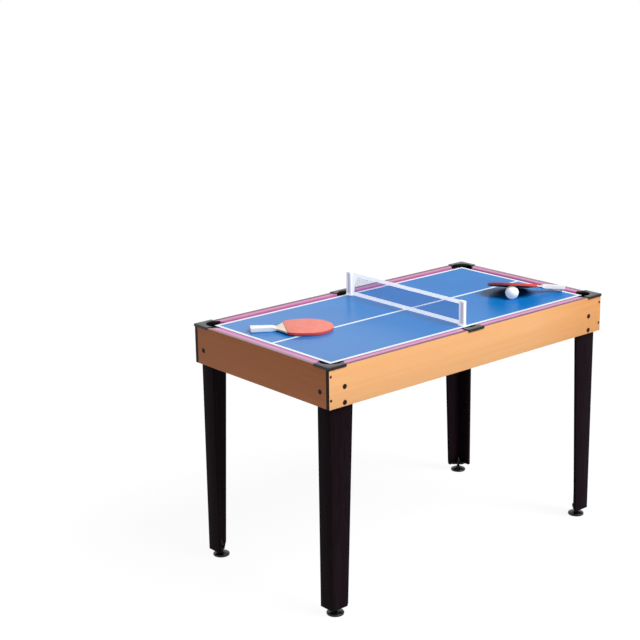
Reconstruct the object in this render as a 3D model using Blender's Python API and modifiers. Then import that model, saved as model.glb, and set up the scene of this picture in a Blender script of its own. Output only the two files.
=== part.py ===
"""Multi game table: a cabinet on four legs with a pool bed inside and a two-sided lift-out board.

X runs along the table, Y away from the front and Z up. The origin is on the floor, under the middle.
All lengths are in metres. Corner pieces are drawn at the rear right corner and mirrored to the others.
"""

from math import acos, cos, hypot, pi, radians, sin

import bmesh
import bpy
from mathutils import Matrix, Vector

# Clearances
SEAT = 0.0003
OVERRUN = 0.002
MERGE = 0.00005
SMOOTH_ANGLE = radians(35)

# Cabinet
BOX_LENGTH = 1.094
BOX_WIDTH = 0.585
RAIL_HEIGHT = 0.717
PANEL_DEPTH = 0.113
PANEL_THICK = 0.012
BOX_X = BOX_LENGTH / 2
BOX_Y = BOX_WIDTH / 2
PANEL_UNDER = RAIL_HEIGHT - PANEL_DEPTH
INNER_X = BOX_X - PANEL_THICK
INNER_Y = BOX_Y - PANEL_THICK

# Pool bed, held in a groove in the four panels
BED_DROP = 0.0355
BED_THICK = 0.009
GROOVE = 0.004
NOTCH_SHARE = 0.7
BED_TOP = RAIL_HEIGHT - BED_DROP
BED_UNDER = BED_TOP - BED_THICK
BED_X = INNER_X + GROOVE - SEAT
BED_Y = INNER_Y + GROOVE - SEAT

# Cushion rails
CUSHION_WIDTH = 0.027
CUSHION_TOE = 0.015
CUSHION_LOW = 0.0005
NOSE_DROP = 0.009
NOSE_ROUND = 0.004
NOSE_STEPS = 5
POCKET_FLARE = 0.020
NOSE_X = INNER_X - SEAT - CUSHION_WIDTH
NOSE_Y = INNER_Y - SEAT - CUSHION_WIDTH

# Legs, each a board folded to an L
LEG_THICK = 0.009
LEG_TOP_WIDTH = 0.083
LEG_FOOT_WIDTH = 0.060
LEG_END_WIDTH = 0.050
LEG_CLEAR = 0.021
LEG_CUT_WIDTH = 0.008
LEG_CUT_HEIGHT = 0.018
LEG_TOP = BED_UNDER - SEAT
LEG_X = INNER_X - SEAT
LEG_Y = INNER_Y - SEAT

# Bolts that hold the legs
BOLT_RADIUS = 0.003
BOLT_HEAD_RADIUS = 0.0058
BOLT_HEAD = 0.0022
BOLT_SIDES = 12
UPPER_BOLT_DROP = 0.014
END_BOLT_DROP = 0.026
LOWER_BOLT_RISE = 0.0105
BOLT_SPARE = 0.0032
HOLE_RADIUS = BOLT_RADIUS + SEAT
SIDE_BOLT_X = LEG_X - LEG_TOP_WIDTH / 2
END_BOLT_Y = LEG_Y - LEG_END_WIDTH / 2
UPPER_BOLT_Z = LEG_TOP - UPPER_BOLT_DROP
END_BOLT_Z = LEG_TOP - END_BOLT_DROP
LOWER_BOLT_Z = PANEL_UNDER + LOWER_BOLT_RISE

# Pockets: a cap on the rail, a curved wall behind the opening and a cup under the bed
CUP_RADIUS = 0.019
CUP_DEPTH = 0.044
CUP_CLEAR = 0.0008
POCKET_WALL = 0.0015
POCKET_CLEAR = 0.0005
POCKET_SIDES = 24
LEDGE_DROP = 0.002
LEDGE_RIM = 0.0005
CAP_THICK = 0.0022
CAP_LIP = 0.0022
CAP_SKIRT = 0.005
CAP_ARM = 0.063
CAP_BAND = 0.021
CAP_WEB = 0.012
SIDE_CAP = 0.065
CUP_OUTER = CUP_RADIUS + POCKET_WALL
POCKET_INSET = LEG_THICK + BOLT_SPARE + SEAT + CUP_CLEAR + CUP_OUTER
POCKET_OUTER = POCKET_INSET - POCKET_CLEAR
POCKET_INNER = POCKET_OUTER - POCKET_WALL
POCKET_X = INNER_X - POCKET_INSET
POCKET_Y = INNER_Y - POCKET_INSET
LEDGE_TOP = BED_TOP - LEDGE_DROP
CAP_UNDER = RAIL_HEIGHT + SEAT
CAP_TOP = CAP_UNDER + CAP_THICK
CAP_X = BOX_X + SEAT + CAP_LIP
CAP_Y = BOX_Y + SEAT + CAP_LIP

# Foot plates and levelling feet
PLATE_THICK = 0.002
PLATE_RISE = 0.002
PLATE_LONG = 0.044
PLATE_SHORT = 0.037
PLATE_CORNER = 0.020
PLATE_FLANGE = 0.012
STUD_IN_X = 0.019
STUD_IN_Y = 0.0125
STUD_RADIUS = 0.004
STUD_SIDES = 12
STUD_SPARE = 0.003
WELD_NUT_RADIUS = 0.0075
WELD_NUT_HEIGHT = 0.0065
WELD_NUT_SIDES = 6
FOOT_RADIUS = 0.025
FOOT_RIM = 0.0065
FOOT_DOME = 0.0035
FOOT_DOME_STEPS = 4
FOOT_SIDES = 20
NECK_RADIUS = 0.007
NECK_HEIGHT = 0.005
LEVEL_TRAVEL = 0.012
PLATE_X = LEG_X - LEG_THICK - SEAT
PLATE_Y = LEG_Y - LEG_THICK - SEAT
PLATE_UNDER = LEG_CLEAR + PLATE_RISE
LEVELLER_X = PLATE_X - STUD_IN_X
LEVELLER_Y = PLATE_Y - STUD_IN_Y
NECK_TOP = FOOT_RIM + FOOT_DOME + NECK_HEIGHT
WELD_NUT_TOP = PLATE_UNDER + PLATE_THICK + WELD_NUT_HEIGHT

# Lift-out board: table tennis on top, hockey walls and goals on its underside
BOARD_CLEAR = 0.001
BOARD_SINK = 0.003
BOARD_THICK = 0.009
WALL_THICK = 0.010
GOAL_WIDTH = 0.140
GOAL_DEPTH = 0.016
GOAL_CHEEK = 0.012
SLOT_HEIGHT = 0.010
SLOT_DEPTH = 0.012
BOARD_X = NOSE_X - BOARD_CLEAR
BOARD_Y = NOSE_Y - BOARD_CLEAR
BOARD_TOP = RAIL_HEIGHT - BOARD_SINK
BOARD_UNDER = BOARD_TOP - BOARD_THICK
WALL_LOW = BED_TOP + SEAT
WALL_HIGH = BOARD_UNDER - SEAT

# Net and its posts
POST_HEIGHT = 0.074
POST_THICK = 0.009
POST_WIDTH = 0.020
POST_RECESS = 0.0015
POST_FRAME = 0.0045
POST_FOOT_HEIGHT = 0.003
POST_FOOT_LIP = 0.002
POST_INSET = 0.001
PEG_RADIUS = 0.003
PEG_LENGTH = 0.006
PEG_SIDES = 12
NET_THICK = 0.001
NET_LIFT = 0.003
NET_ROWS = 5
NET_COLUMNS = 40
TAPE_HEIGHT = 0.011
STRAND = 0.0012
POST_Y = BOARD_Y - POST_INSET - POST_FOOT_LIP - POST_WIDTH / 2
NET_Y = POST_Y - POST_WIDTH / 2 - SEAT

# Bats: round at the tip, fuller towards the handle
BLADE_RADIUS = 0.075
BLADE_SHOULDER = 0.080
SHOULDER_POWER = 2.6
SHOULDER_STEPS = 8
TIP_STEPS = 8
BLADE_THICK = 0.0045
RUBBER_THICK = 0.0014
RUBBER_SETBACK = 0.0174
NECK_SETBACK = 0.008
NECK_CURVE = 0.0125
NECK_HALF = 0.0105
NECK_STEPS = 4
TONGUE_HALF = 0.008
TONGUE_LENGTH = 0.070
HANDLE_LENGTH = 0.083
HANDLE_THICK = 0.0132
HANDLE_LIP = 0.0009
HANDLE_RAMP = 0.014
HANDLE_RAMP_STEPS = 3
HANDLE_HALF = 0.0105
HANDLE_FLARE = 0.0043
HANDLE_STEPS = 4
HANDLE_ROUND = 0.0025
HANDLE_ROUND_STEPS = 3
HALF_BAT = BLADE_THICK / 2 + SEAT + RUBBER_THICK
HALF_SLOT = BLADE_THICK / 2 + SEAT
HALF_HANDLE = HANDLE_THICK / 2
HANDLE_START = BLADE_SHOULDER
HANDLE_END = HANDLE_START + HANDLE_LENGTH
TONGUE_END = HANDLE_START + TONGUE_LENGTH

# Where the bats and the ball lie, as shares of the board's half length and half width
FLAT_BAT_SHARES = (-0.6667, 0.1642)
BALL_SHARES = (0.6345, -0.5385)
FLAT_BAT_X = BOARD_X * FLAT_BAT_SHARES[0]
FLAT_BAT_Y = BOARD_Y * FLAT_BAT_SHARES[1]
BALL_X = BOARD_X * BALL_SHARES[0]
BALL_Y = BOARD_Y * BALL_SHARES[1]
FLAT_BAT_TURN = radians(147.2)
BALL_RADIUS = 0.020
BALL_RINGS = 14
BALL_SEGMENTS = 24
LEANING_BAT_TURN = radians(-34.7)
LEAN_BEARING = radians(41.4)
LEAN_SHARE = 0.839
LEAN_STEPS = 24
CUSHION_OVER_BOARD = BED_TOP + BED_DROP - CUSHION_LOW - BOARD_TOP

CORNERS = (
    ("front_left", -1, -1),
    ("front_right", 1, -1),
    ("rear_left", -1, 1),
    ("rear_right", 1, 1),
)
ENDS = (("left", -1), ("right", 1))
SIDES = (("front", -1), ("rear", 1))


def colour(red, green, blue):
    """Turns a display colour of 0 to 255 a channel into a shader colour."""
    levels = [level / 255 for level in (red, green, blue)]
    curve = [level / 12.92 if level < 0.04045 else ((level + 0.055) / 1.055) ** 2.4 for level in levels]
    return (*curve, 1)


def material(name, shade, roughness, metallic):
    made = bpy.data.materials.new(name)
    made.use_nodes = True
    shader = made.node_tree.nodes["Principled BSDF"]
    shader.inputs["Base Color"].default_value = shade
    shader.inputs["Roughness"].default_value = roughness
    shader.inputs["Metallic"].default_value = metallic
    made.diffuse_color = shade
    return made


def clear_scene():
    for item in list(bpy.data.objects):
        bpy.data.objects.remove(item, do_unlink=True)


def collection(name):
    made = bpy.data.collections.new(name)
    bpy.context.scene.collection.children.link(made)
    return made


def add(name, mesh, group, finish=None, parent=None):
    """Makes an object of a mesh, in a collection, with a finish and a parent."""
    item = bpy.data.objects.new(name, mesh)
    group.objects.link(item)
    item.parent = parent
    if finish:
        mesh.materials.clear()
        mesh.materials.append(finish)
    return item


def empty(name, place, parent=None):
    item = bpy.data.objects.new(name, None)
    TABLE.objects.link(item)
    item.location = place
    item.parent = parent
    return item


def baked(item):
    """Gives the mesh of an object with its modifiers, and takes the object away."""
    bpy.context.view_layer.update()
    seen = item.evaluated_get(bpy.context.evaluated_depsgraph_get())
    mesh = bpy.data.meshes.new_from_object(seen)
    mesh.transform(item.matrix_world)
    bpy.data.objects.remove(item, do_unlink=True)
    return mesh


def block(low, high):
    """A box between two corners."""
    mesh = bpy.data.meshes.new("block")
    form = bmesh.new()
    bmesh.ops.create_cube(form, size=1)
    size = Matrix.Diagonal([far - near for near, far in zip(low, high)]).to_4x4()
    middle = Matrix.Translation([(near + far) / 2 for near, far in zip(low, high)])
    bmesh.ops.transform(form, matrix=middle @ size, verts=form.verts)
    form.to_mesh(mesh)
    form.free()
    return mesh


def rod(start, axis, radius, length, sides):
    """A cylinder, or a prism of that many sides, from its start along an axis."""
    mesh = bpy.data.meshes.new("rod")
    form = bmesh.new()
    along = Vector(axis).normalized()
    turn = Vector((0, 0, 1)).rotation_difference(along).to_matrix().to_4x4()
    place = Matrix.Translation(Vector(start) + along * length / 2) @ turn
    bmesh.ops.create_cone(form, cap_ends=True, segments=sides, radius1=radius, radius2=radius,
                          depth=length, matrix=place)
    form.to_mesh(mesh)
    form.free()
    return mesh


def gather(meshes):
    """Holds separate solids in one mesh."""
    whole = bpy.data.meshes.new("group")
    form = bmesh.new()
    for mesh in meshes:
        form.from_mesh(mesh)
    form.to_mesh(whole)
    form.free()
    return whole


def moved(mesh, matrix):
    """A copy of a mesh, moved, turned or mirrored, with its faces still pointing out."""
    copy = mesh.copy()
    copy.transform(matrix)
    if matrix.determinant() < 0:
        copy.flip_normals()
    return copy


def combined(mesh, tool, operation):
    """Cuts one solid from another, or joins the two."""
    item = add("solid", mesh, TABLE)
    other = add("cutter", tool, CUTTERS)
    other.hide_render = True
    other.display_type = "WIRE"
    change = item.modifiers.new(operation.lower(), "BOOLEAN")
    change.operation = operation
    change.solver = "EXACT"
    change.object = other
    result = baked(item)
    bpy.data.objects.remove(other, do_unlink=True)
    return result


def cut(mesh, tool):
    return combined(mesh, tool, "DIFFERENCE")


def joined(mesh, tool):
    return combined(mesh, tool, "UNION")


def slab(outline, low, high):
    """A flat outline given in X and Y, filled and extruded from one height to another."""
    curve = bpy.data.curves.new("outline", "CURVE")
    curve.dimensions = "2D"
    curve.fill_mode = "BOTH"
    curve.extrude = (high - low) / 2
    line = curve.splines.new("POLY")
    line.points.add(len(outline) - 1)
    for point, (x, y) in zip(line.points, outline):
        point.co = (x, y, 0, 1)
    line.use_cyclic_u = True
    item = bpy.data.objects.new("outline", curve)
    TABLE.objects.link(item)
    item.location.z = (low + high) / 2
    mesh = baked(item)
    form = bmesh.new()
    form.from_mesh(mesh)
    bmesh.ops.remove_doubles(form, verts=form.verts, dist=MERGE)
    bmesh.ops.recalc_face_normals(form, faces=form.faces)
    form.to_mesh(mesh)
    form.free()
    return mesh


def turned(profile, sides):
    """A profile of radius and height pairs, turned about Z; its outer side runs downwards."""
    mesh = bpy.data.meshes.new("turned")
    corners = [(radius, 0, height) for radius, height in profile]
    mesh.from_pydata(corners, [(at, at + 1) for at in range(len(corners) - 1)], [])
    item = add("turned", mesh, TABLE)
    screw = item.modifiers.new("turn", "SCREW")
    screw.steps = sides
    screw.render_steps = sides
    screw.use_merge_vertices = True
    screw.merge_threshold = MERGE
    made = baked(item)
    form = bmesh.new()
    form.from_mesh(made)
    bmesh.ops.remove_doubles(form, verts=form.verts, dist=MERGE)
    form.to_mesh(made)
    form.free()
    return made


def smooth(mesh):
    """Shades a round piece smooth, with its hard edges kept."""
    mesh.shade_smooth()
    mesh.set_sharp_from_angle(angle=SMOOTH_ANGLE)
    return mesh


def mirrored(mesh, x_side, y_side):
    return moved(mesh, Matrix.Diagonal((x_side, y_side, 1, 1)))


def at_corners(stem, mesh, finish):
    """Puts the rear right piece at every corner, mirrored."""
    for name, x_side, y_side in CORNERS:
        add(f"{stem}_{name}", mirrored(mesh, x_side, y_side), TABLE, finish)


def standing(mesh):
    """Stands an outline drawn in X and Y up in X and Z, with its front to -Y."""
    return moved(mesh, Matrix.Rotation(pi / 2, 4, "X"))


def side_panels():
    """The two long panels, drilled for the leg bolts and grooved for the bed."""
    panel = block((-BOX_X, INNER_Y, PANEL_UNDER), (BOX_X, BOX_Y, RAIL_HEIGHT))
    bores = [
        rod((end * SIDE_BOLT_X, INNER_Y - OVERRUN, height), (0, 1, 0), HOLE_RADIUS,
            PANEL_THICK + 2 * OVERRUN, BOLT_SIDES)
        for _, end in ENDS for height in (UPPER_BOLT_Z, LOWER_BOLT_Z)
    ]
    panel = cut(panel, gather(bores))
    low = (-BED_X - SEAT, INNER_Y - OVERRUN, BED_UNDER - SEAT)
    panel = cut(panel, block(low, (BED_X + SEAT, BED_Y + SEAT, BED_TOP + SEAT)))
    for name, side in SIDES:
        add(f"side_panel_{name}", mirrored(panel, 1, side), TABLE, BEECH)


def end_panels():
    """The two short panels, held between the long ones, drilled and grooved alike."""
    reach = INNER_Y - SEAT
    panel = block((INNER_X, -reach, PANEL_UNDER), (BOX_X, reach, RAIL_HEIGHT))
    bores = [
        rod((INNER_X - OVERRUN, side * END_BOLT_Y, END_BOLT_Z), (1, 0, 0), HOLE_RADIUS,
            PANEL_THICK + 2 * OVERRUN, BOLT_SIDES)
        for _, side in SIDES
    ]
    panel = cut(panel, gather(bores))
    over = INNER_Y + OVERRUN
    low = (INNER_X - OVERRUN, -over, BED_UNDER - SEAT)
    panel = cut(panel, block(low, (BED_X + SEAT, over, BED_TOP + SEAT)))
    for name, end in ENDS:
        add(f"end_panel_{name}", mirrored(panel, end, 1), TABLE, BEECH)


def pool_bed():
    """The cloth-covered bed: one quarter with its pocket notches, mirrored both ways."""
    quarter = block((-OVERRUN, -OVERRUN, BED_UNDER), (BED_X, BED_Y, BED_TOP))
    radius = POCKET_OUTER + SEAT
    low = BED_UNDER - OVERRUN
    high = BED_TOP + OVERRUN
    over_x = BED_X + OVERRUN
    over_y = BED_Y + OVERRUN
    back = radius * NOTCH_SHARE
    for x in (0, POCKET_X):
        quarter = cut(quarter, rod((x, POCKET_Y, low), (0, 0, 1), radius, high - low, POCKET_SIDES))
    quarter = cut(quarter, block((-back, POCKET_Y, low), (back, over_y, high)))
    quarter = cut(quarter, block((POCKET_X - back, POCKET_Y, low), (over_x, over_y, high)))
    quarter = cut(quarter, block((POCKET_X, POCKET_Y - back, low), (over_x, over_y, high)))
    bed = add("pool_bed", quarter, TABLE, CLOTH)
    mirror = bed.modifiers.new("mirror", "MIRROR")
    mirror.use_axis = (True, True, False)
    mirror.use_bisect_axis = (True, True, False)
    mirror.merge_threshold = MERGE


def cushion_profile():
    """Section of a rail: distance in from the panel, and height over the bed."""
    low = SEAT
    high = BED_DROP - CUSHION_LOW
    nose = high - NOSE_DROP
    arc = [pi / 2 * step / NOSE_STEPS for step in range(NOSE_STEPS + 1)]
    corner = CUSHION_WIDTH - NOSE_ROUND
    under = high - NOSE_ROUND
    shoulder = [(corner + NOSE_ROUND * sin(angle), under + NOSE_ROUND * cos(angle)) for angle in arc]
    return [(0, high), *shoulder, (CUSHION_WIDTH, nose), (CUSHION_TOE, low), (0, low)]


def pocket_clearance():
    """How far the nose of a rail stays from a pocket's middle, so that its slanted end clears the wall."""
    slant = hypot(POCKET_FLARE, CUSHION_WIDTH)
    before = POCKET_INSET - SEAT - CUSHION_WIDTH
    return ((POCKET_OUTER + SEAT) * slant - before * POCKET_FLARE) / CUSHION_WIDTH


def rail(start, end):
    """A rail along X from one nose end to another; both ends flare out towards the panel at Y zero."""
    mesh = slab(cushion_profile(), start, end)
    for corner in mesh.vertices:
        depth, height, along = corner.co
        spread = POCKET_FLARE * (1 - depth / CUSHION_WIDTH)
        outward = spread if along > (start + end) / 2 else -spread
        corner.co = (along + outward, -depth, height)
    mesh.flip_normals()
    return mesh


def cushion_rails():
    """Two rails on each long side, with the side pocket between them, and one on each end."""
    gap = pocket_clearance()
    side = rail(gap, POCKET_X - gap)
    side = moved(side, Matrix.Translation((0, LEG_Y, BED_TOP)))
    at_corners("rail_cushion", side, CUSHION)
    reach = POCKET_Y - gap
    across = rail(-reach, reach)
    across = moved(across, Matrix.Translation((LEG_X, 0, BED_TOP)) @ Matrix.Rotation(-pi / 2, 4, "Z"))
    for name, end in ENDS:
        add(f"rail_cushion_{name}_end", mirrored(across, end, 1), TABLE, CUSHION)


def pocket_body():
    """Wall, ledge and cup of a pocket, turned about its middle."""
    ledge_under = LEDGE_TOP - POCKET_WALL
    cup_floor = LEDGE_TOP - CUP_DEPTH
    rim = CAP_UNDER + CAP_THICK / 2
    return turned([
        (0, cup_floor), (CUP_RADIUS, cup_floor), (CUP_RADIUS, LEDGE_TOP), (POCKET_INNER, LEDGE_TOP),
        (POCKET_INNER, rim), (POCKET_OUTER, rim), (POCKET_OUTER, ledge_under), (CUP_OUTER, ledge_under),
        (CUP_OUTER, cup_floor - POCKET_WALL), (0, cup_floor - POCKET_WALL),
    ], POCKET_SIDES)


def wall_end():
    """How far behind a pocket's middle its wall meets the slanted end of a rail."""
    return POCKET_OUTER * POCKET_FLARE / hypot(POCKET_FLARE, CUSHION_WIDTH)


def pocket(middle_x, cap_outline, mouth_reach):
    """One pocket: the turned body, its wall cut away between the rails, joined to a cap over the panels."""
    body = moved(pocket_body(), Matrix.Translation((middle_x, POCKET_Y, 0)))
    low = (middle_x - POCKET_OUTER - OVERRUN, POCKET_Y - POCKET_OUTER - OVERRUN, LEDGE_TOP + LEDGE_RIM)
    body = cut(body, block(low, (mouth_reach, POCKET_Y + wall_end(), CAP_TOP + OVERRUN)))
    cap = slab(cap_outline, RAIL_HEIGHT - CAP_SKIRT, CAP_TOP)
    under = (-OVERRUN - CAP_X, -OVERRUN, RAIL_HEIGHT - CAP_SKIRT - OVERRUN)
    cap = cut(cap, block(under, (BOX_X + SEAT, BOX_Y + SEAT, CAP_UNDER)))
    opening = rod((middle_x, POCKET_Y, CAP_UNDER - OVERRUN), (0, 0, 1), POCKET_INNER,
                  CAP_THICK + 2 * OVERRUN, POCKET_SIDES)
    cap = cut(cap, opening)
    return smooth(joined(cap, body))


def pockets():
    """Four corner pockets with L-shaped caps, and a pocket in the middle of each long side."""
    inner_x = CAP_X - CAP_BAND
    inner_y = CAP_Y - CAP_BAND
    corner_cap = [
        (CAP_X - CAP_ARM, CAP_Y), (CAP_X - CAP_ARM, inner_y), (inner_x - CAP_WEB, inner_y),
        (inner_x, inner_y - CAP_WEB), (inner_x, CAP_Y - CAP_ARM), (CAP_X, CAP_Y - CAP_ARM), (CAP_X, CAP_Y),
    ]
    at_corners("corner_pocket", pocket(POCKET_X, corner_cap, POCKET_X + wall_end()), BLACK_PLASTIC)
    reach = SIDE_CAP / 2
    side_cap = [(-reach, CAP_Y), (-reach, CAP_Y - CAP_BAND), (reach, CAP_Y - CAP_BAND), (reach, CAP_Y)]
    middle = pocket(0, side_cap, POCKET_OUTER + OVERRUN)
    for name, side in SIDES:
        add(f"side_pocket_{name}", mirrored(middle, 1, side), TABLE, BLACK_PLASTIC)


def leg():
    """One leg: a tapered board on the long side and a narrow one on the short side, folded together."""
    tapered = [
        (LEG_X, LEG_TOP), (LEG_X - LEG_TOP_WIDTH, LEG_TOP),
        (LEG_X - LEG_FOOT_WIDTH, LEG_CLEAR + LEG_CUT_HEIGHT),
        (LEG_X - LEG_FOOT_WIDTH + LEG_CUT_WIDTH, LEG_CLEAR), (LEG_X, LEG_CLEAR),
    ]
    wide = standing(slab(tapered, -LEG_THICK / 2, LEG_THICK / 2))
    wide = moved(wide, Matrix.Translation((0, LEG_Y - LEG_THICK / 2, 0)))
    low = (LEG_X - LEG_THICK, LEG_Y - LEG_END_WIDTH, LEG_CLEAR)
    narrow = block(low, (LEG_X, LEG_Y - LEG_THICK / 2, LEG_TOP))
    return joined(wide, narrow)


def legs():
    """Four legs inside the corners of the cabinet, each drilled for three bolts."""
    through = LEG_THICK + 2 * OVERRUN
    bores = [
        rod((SIDE_BOLT_X, LEG_Y - LEG_THICK - OVERRUN, height), (0, 1, 0), HOLE_RADIUS, through, BOLT_SIDES)
        for height in (UPPER_BOLT_Z, LOWER_BOLT_Z)
    ]
    low = (LEG_X - LEG_THICK - OVERRUN, END_BOLT_Y, END_BOLT_Z)
    bores.append(rod(low, (1, 0, 0), HOLE_RADIUS, through, BOLT_SIDES))
    at_corners("leg", cut(leg(), gather(bores)), DARK_WOOD)


def fastener(radius, length, head_radius, head, sides):
    """A domed head on a shank: the head stands over Z zero and the shank hangs below it."""
    halfway = cos(pi / 4)
    return turned([
        (0, head), (head_radius * halfway, head * halfway), (head_radius, SEAT),
        (radius, SEAT), (radius, -length), (0, -length),
    ], sides)


def facing(axis, place):
    """Turns a piece that points up so that it points along an axis, and places it."""
    turn = Vector((0, 0, 1)).rotation_difference(Vector(axis)).to_matrix().to_4x4()
    return Matrix.Translation(place) @ turn


def leg_bolts():
    """Two bolts through each leg's wide board and one through its narrow board."""
    grip = PANEL_THICK + SEAT + LEG_THICK + BOLT_SPARE
    bolt = smooth(fastener(BOLT_RADIUS, grip, BOLT_HEAD_RADIUS, BOLT_HEAD, BOLT_SIDES))
    for name, x_side, y_side in CORNERS:
        places = {
            "upper": ((0, y_side, 0), (x_side * SIDE_BOLT_X, y_side * BOX_Y, UPPER_BOLT_Z)),
            "lower": ((0, y_side, 0), (x_side * SIDE_BOLT_X, y_side * BOX_Y, LOWER_BOLT_Z)),
            "end": ((x_side, 0, 0), (x_side * BOX_X, y_side * END_BOLT_Y, END_BOLT_Z)),
        }
        for which, (axis, place) in places.items():
            add(f"leg_bolt_{name}_{which}", moved(bolt, facing(axis, place)), TABLE, BLACK_STEEL)


def foot_plates():
    """A pressed tray in the bottom of each leg, its free corner cut across, with a welded nut."""
    outline = [
        (PLATE_X, PLATE_Y), (PLATE_X - PLATE_LONG, PLATE_Y),
        (PLATE_X - PLATE_LONG, PLATE_Y - PLATE_SHORT + PLATE_CORNER),
        (PLATE_X - PLATE_LONG + PLATE_CORNER, PLATE_Y - PLATE_SHORT), (PLATE_X, PLATE_Y - PLATE_SHORT),
    ]
    mesh = bpy.data.meshes.new("tray")
    form = bmesh.new()
    floor = form.faces.new([form.verts.new((x, y, PLATE_UNDER)) for x, y in outline])
    if floor.normal.z > 0:
        floor.normal_flip()
    raised = bmesh.ops.extrude_edge_only(form, edges=form.edges[:])["geom"]
    walls = [part for part in raised if isinstance(part, bmesh.types.BMVert)]
    bmesh.ops.translate(form, verts=walls, vec=(0, 0, PLATE_FLANGE))
    bmesh.ops.recalc_face_normals(form, faces=form.faces)
    form.to_mesh(mesh)
    form.free()
    item = add("tray", mesh, TABLE)
    shell = item.modifiers.new("shell", "SOLIDIFY")
    shell.thickness = PLATE_THICK
    shell.offset = -1
    shell.use_even_offset = True
    nut = rod((LEVELLER_X, LEVELLER_Y, PLATE_UNDER + PLATE_THICK / 2), (0, 0, 1), WELD_NUT_RADIUS,
              WELD_NUT_TOP - PLATE_UNDER - PLATE_THICK / 2, WELD_NUT_SIDES)
    plate = joined(baked(item), nut)
    bore = rod((LEVELLER_X, LEVELLER_Y, PLATE_UNDER - OVERRUN), (0, 0, 1), STUD_RADIUS + SEAT,
               WELD_NUT_TOP - PLATE_UNDER + 2 * OVERRUN, STUD_SIDES)
    at_corners("foot_plate", cut(plate, bore), DARK_STEEL)


def levellers():
    """A domed foot moulded on its stud under each leg; each rides on its own vertical axis."""
    arc = [pi / 2 * step / FOOT_DOME_STEPS for step in range(1, FOOT_DOME_STEPS)]
    slope = FOOT_RADIUS - NECK_RADIUS
    dome = [(NECK_RADIUS + slope * sin(angle), FOOT_RIM + FOOT_DOME * cos(angle) ** 2) for angle in arc]
    shoulder = FOOT_RIM + FOOT_DOME
    stud_top = WELD_NUT_TOP + LEVEL_TRAVEL + STUD_SPARE
    profile = [
        (0, stud_top), (STUD_RADIUS, stud_top), (STUD_RADIUS, NECK_TOP), (NECK_RADIUS, NECK_TOP),
        (NECK_RADIUS, shoulder), *dome, (FOOT_RADIUS, FOOT_RIM), (FOOT_RADIUS, 0), (0, 0),
    ]
    foot = smooth(turned(profile, FOOT_SIDES))
    for name, x_side, y_side in CORNERS:
        item = add(f"leveller_{name}", foot.copy(), TABLE, BLACK_PLASTIC)
        item.location = (x_side * LEVELLER_X, y_side * LEVELLER_Y, 0)


def tennis_board(lift):
    """The blue board, with a blind hole for each net post."""
    board = block((-BOARD_X, -BOARD_Y, BOARD_UNDER), (BOARD_X, BOARD_Y, BOARD_TOP))
    depth = PEG_LENGTH + SEAT
    holes = [
        rod((0, side * POST_Y, BOARD_TOP - depth), (0, 0, 1), PEG_RADIUS + SEAT, depth + OVERRUN, PEG_SIDES)
        for _, side in SIDES
    ]
    add("tennis_board", cut(board, gather(holes)), TABLE, BLUE, lift)


def hockey_walls(lift):
    """The four walls of the hockey side, along the edges of the board."""
    long_wall = block((-BOARD_X, BOARD_Y - WALL_THICK, WALL_LOW), (BOARD_X, BOARD_Y, WALL_HIGH))
    for name, side in SIDES:
        add(f"hockey_wall_{name}", mirrored(long_wall, 1, side), TABLE, GREY, lift)
    reach = BOARD_Y - WALL_THICK - SEAT
    short_wall = block((BOARD_X - WALL_THICK, -reach, WALL_LOW), (BOARD_X, reach, WALL_HIGH))
    for name, end in ENDS:
        add(f"hockey_wall_{name}", mirrored(short_wall, end, 1), TABLE, GREY, lift)


def hockey_goals(lift):
    """A goal against each end wall, with a slot next to the hockey surface."""
    back = BOARD_X - WALL_THICK - SEAT
    mouth = back - GOAL_DEPTH
    goal = block((mouth, -GOAL_WIDTH / 2, WALL_LOW), (back, GOAL_WIDTH / 2, WALL_HIGH))
    half = GOAL_WIDTH / 2 - GOAL_CHEEK
    low = (mouth - OVERRUN, -half, WALL_HIGH - SLOT_HEIGHT)
    goal = cut(goal, block(low, (mouth + SLOT_DEPTH, half, WALL_HIGH + OVERRUN)))
    for name, end in ENDS:
        add(f"hockey_goal_{name}", mirrored(goal, end, 1), TABLE, RED_PLASTIC, lift)


def net_posts(lift):
    """A post at each side: a foot with a peg, and an upright with a sunk panel in both broad faces."""
    half_x = POST_THICK / 2
    half_y = POST_WIDTH / 2
    post = block((-half_x, POST_Y - half_y, POST_FOOT_HEIGHT / 2), (half_x, POST_Y + half_y, POST_HEIGHT))
    sunk = half_y - POST_FRAME
    for side in (-1, 1):
        deep = sorted((side * (half_x - POST_RECESS), side * (half_x + OVERRUN)))
        low = (deep[0], POST_Y - sunk, POST_FOOT_HEIGHT + POST_FRAME)
        post = cut(post, block(low, (deep[1], POST_Y + sunk, POST_HEIGHT - POST_FRAME)))
    foot_x = half_x + POST_FOOT_LIP
    foot_y = half_y + POST_FOOT_LIP
    foot = block((-foot_x, POST_Y - foot_y, SEAT), (foot_x, POST_Y + foot_y, POST_FOOT_HEIGHT))
    peg = rod((0, POST_Y, -PEG_LENGTH), (0, 0, 1), PEG_RADIUS, PEG_LENGTH + POST_FOOT_HEIGHT / 2, PEG_SIDES)
    post = joined(post, joined(foot, peg))
    for name, side in SIDES:
        add(f"net_post_{name}", mirrored(post, 1, side), TABLE, WHITE_PLASTIC, lift)


def net_row(step):
    """Height of a row line: the tapes take the first and last rows, and the mesh the rest."""
    low = NET_LIFT + TAPE_HEIGHT
    high = POST_HEIGHT - TAPE_HEIGHT
    if step == 0:
        return NET_LIFT
    if step == NET_ROWS + 2:
        return POST_HEIGHT
    return low + (high - low) * (step - 1) / NET_ROWS


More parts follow.
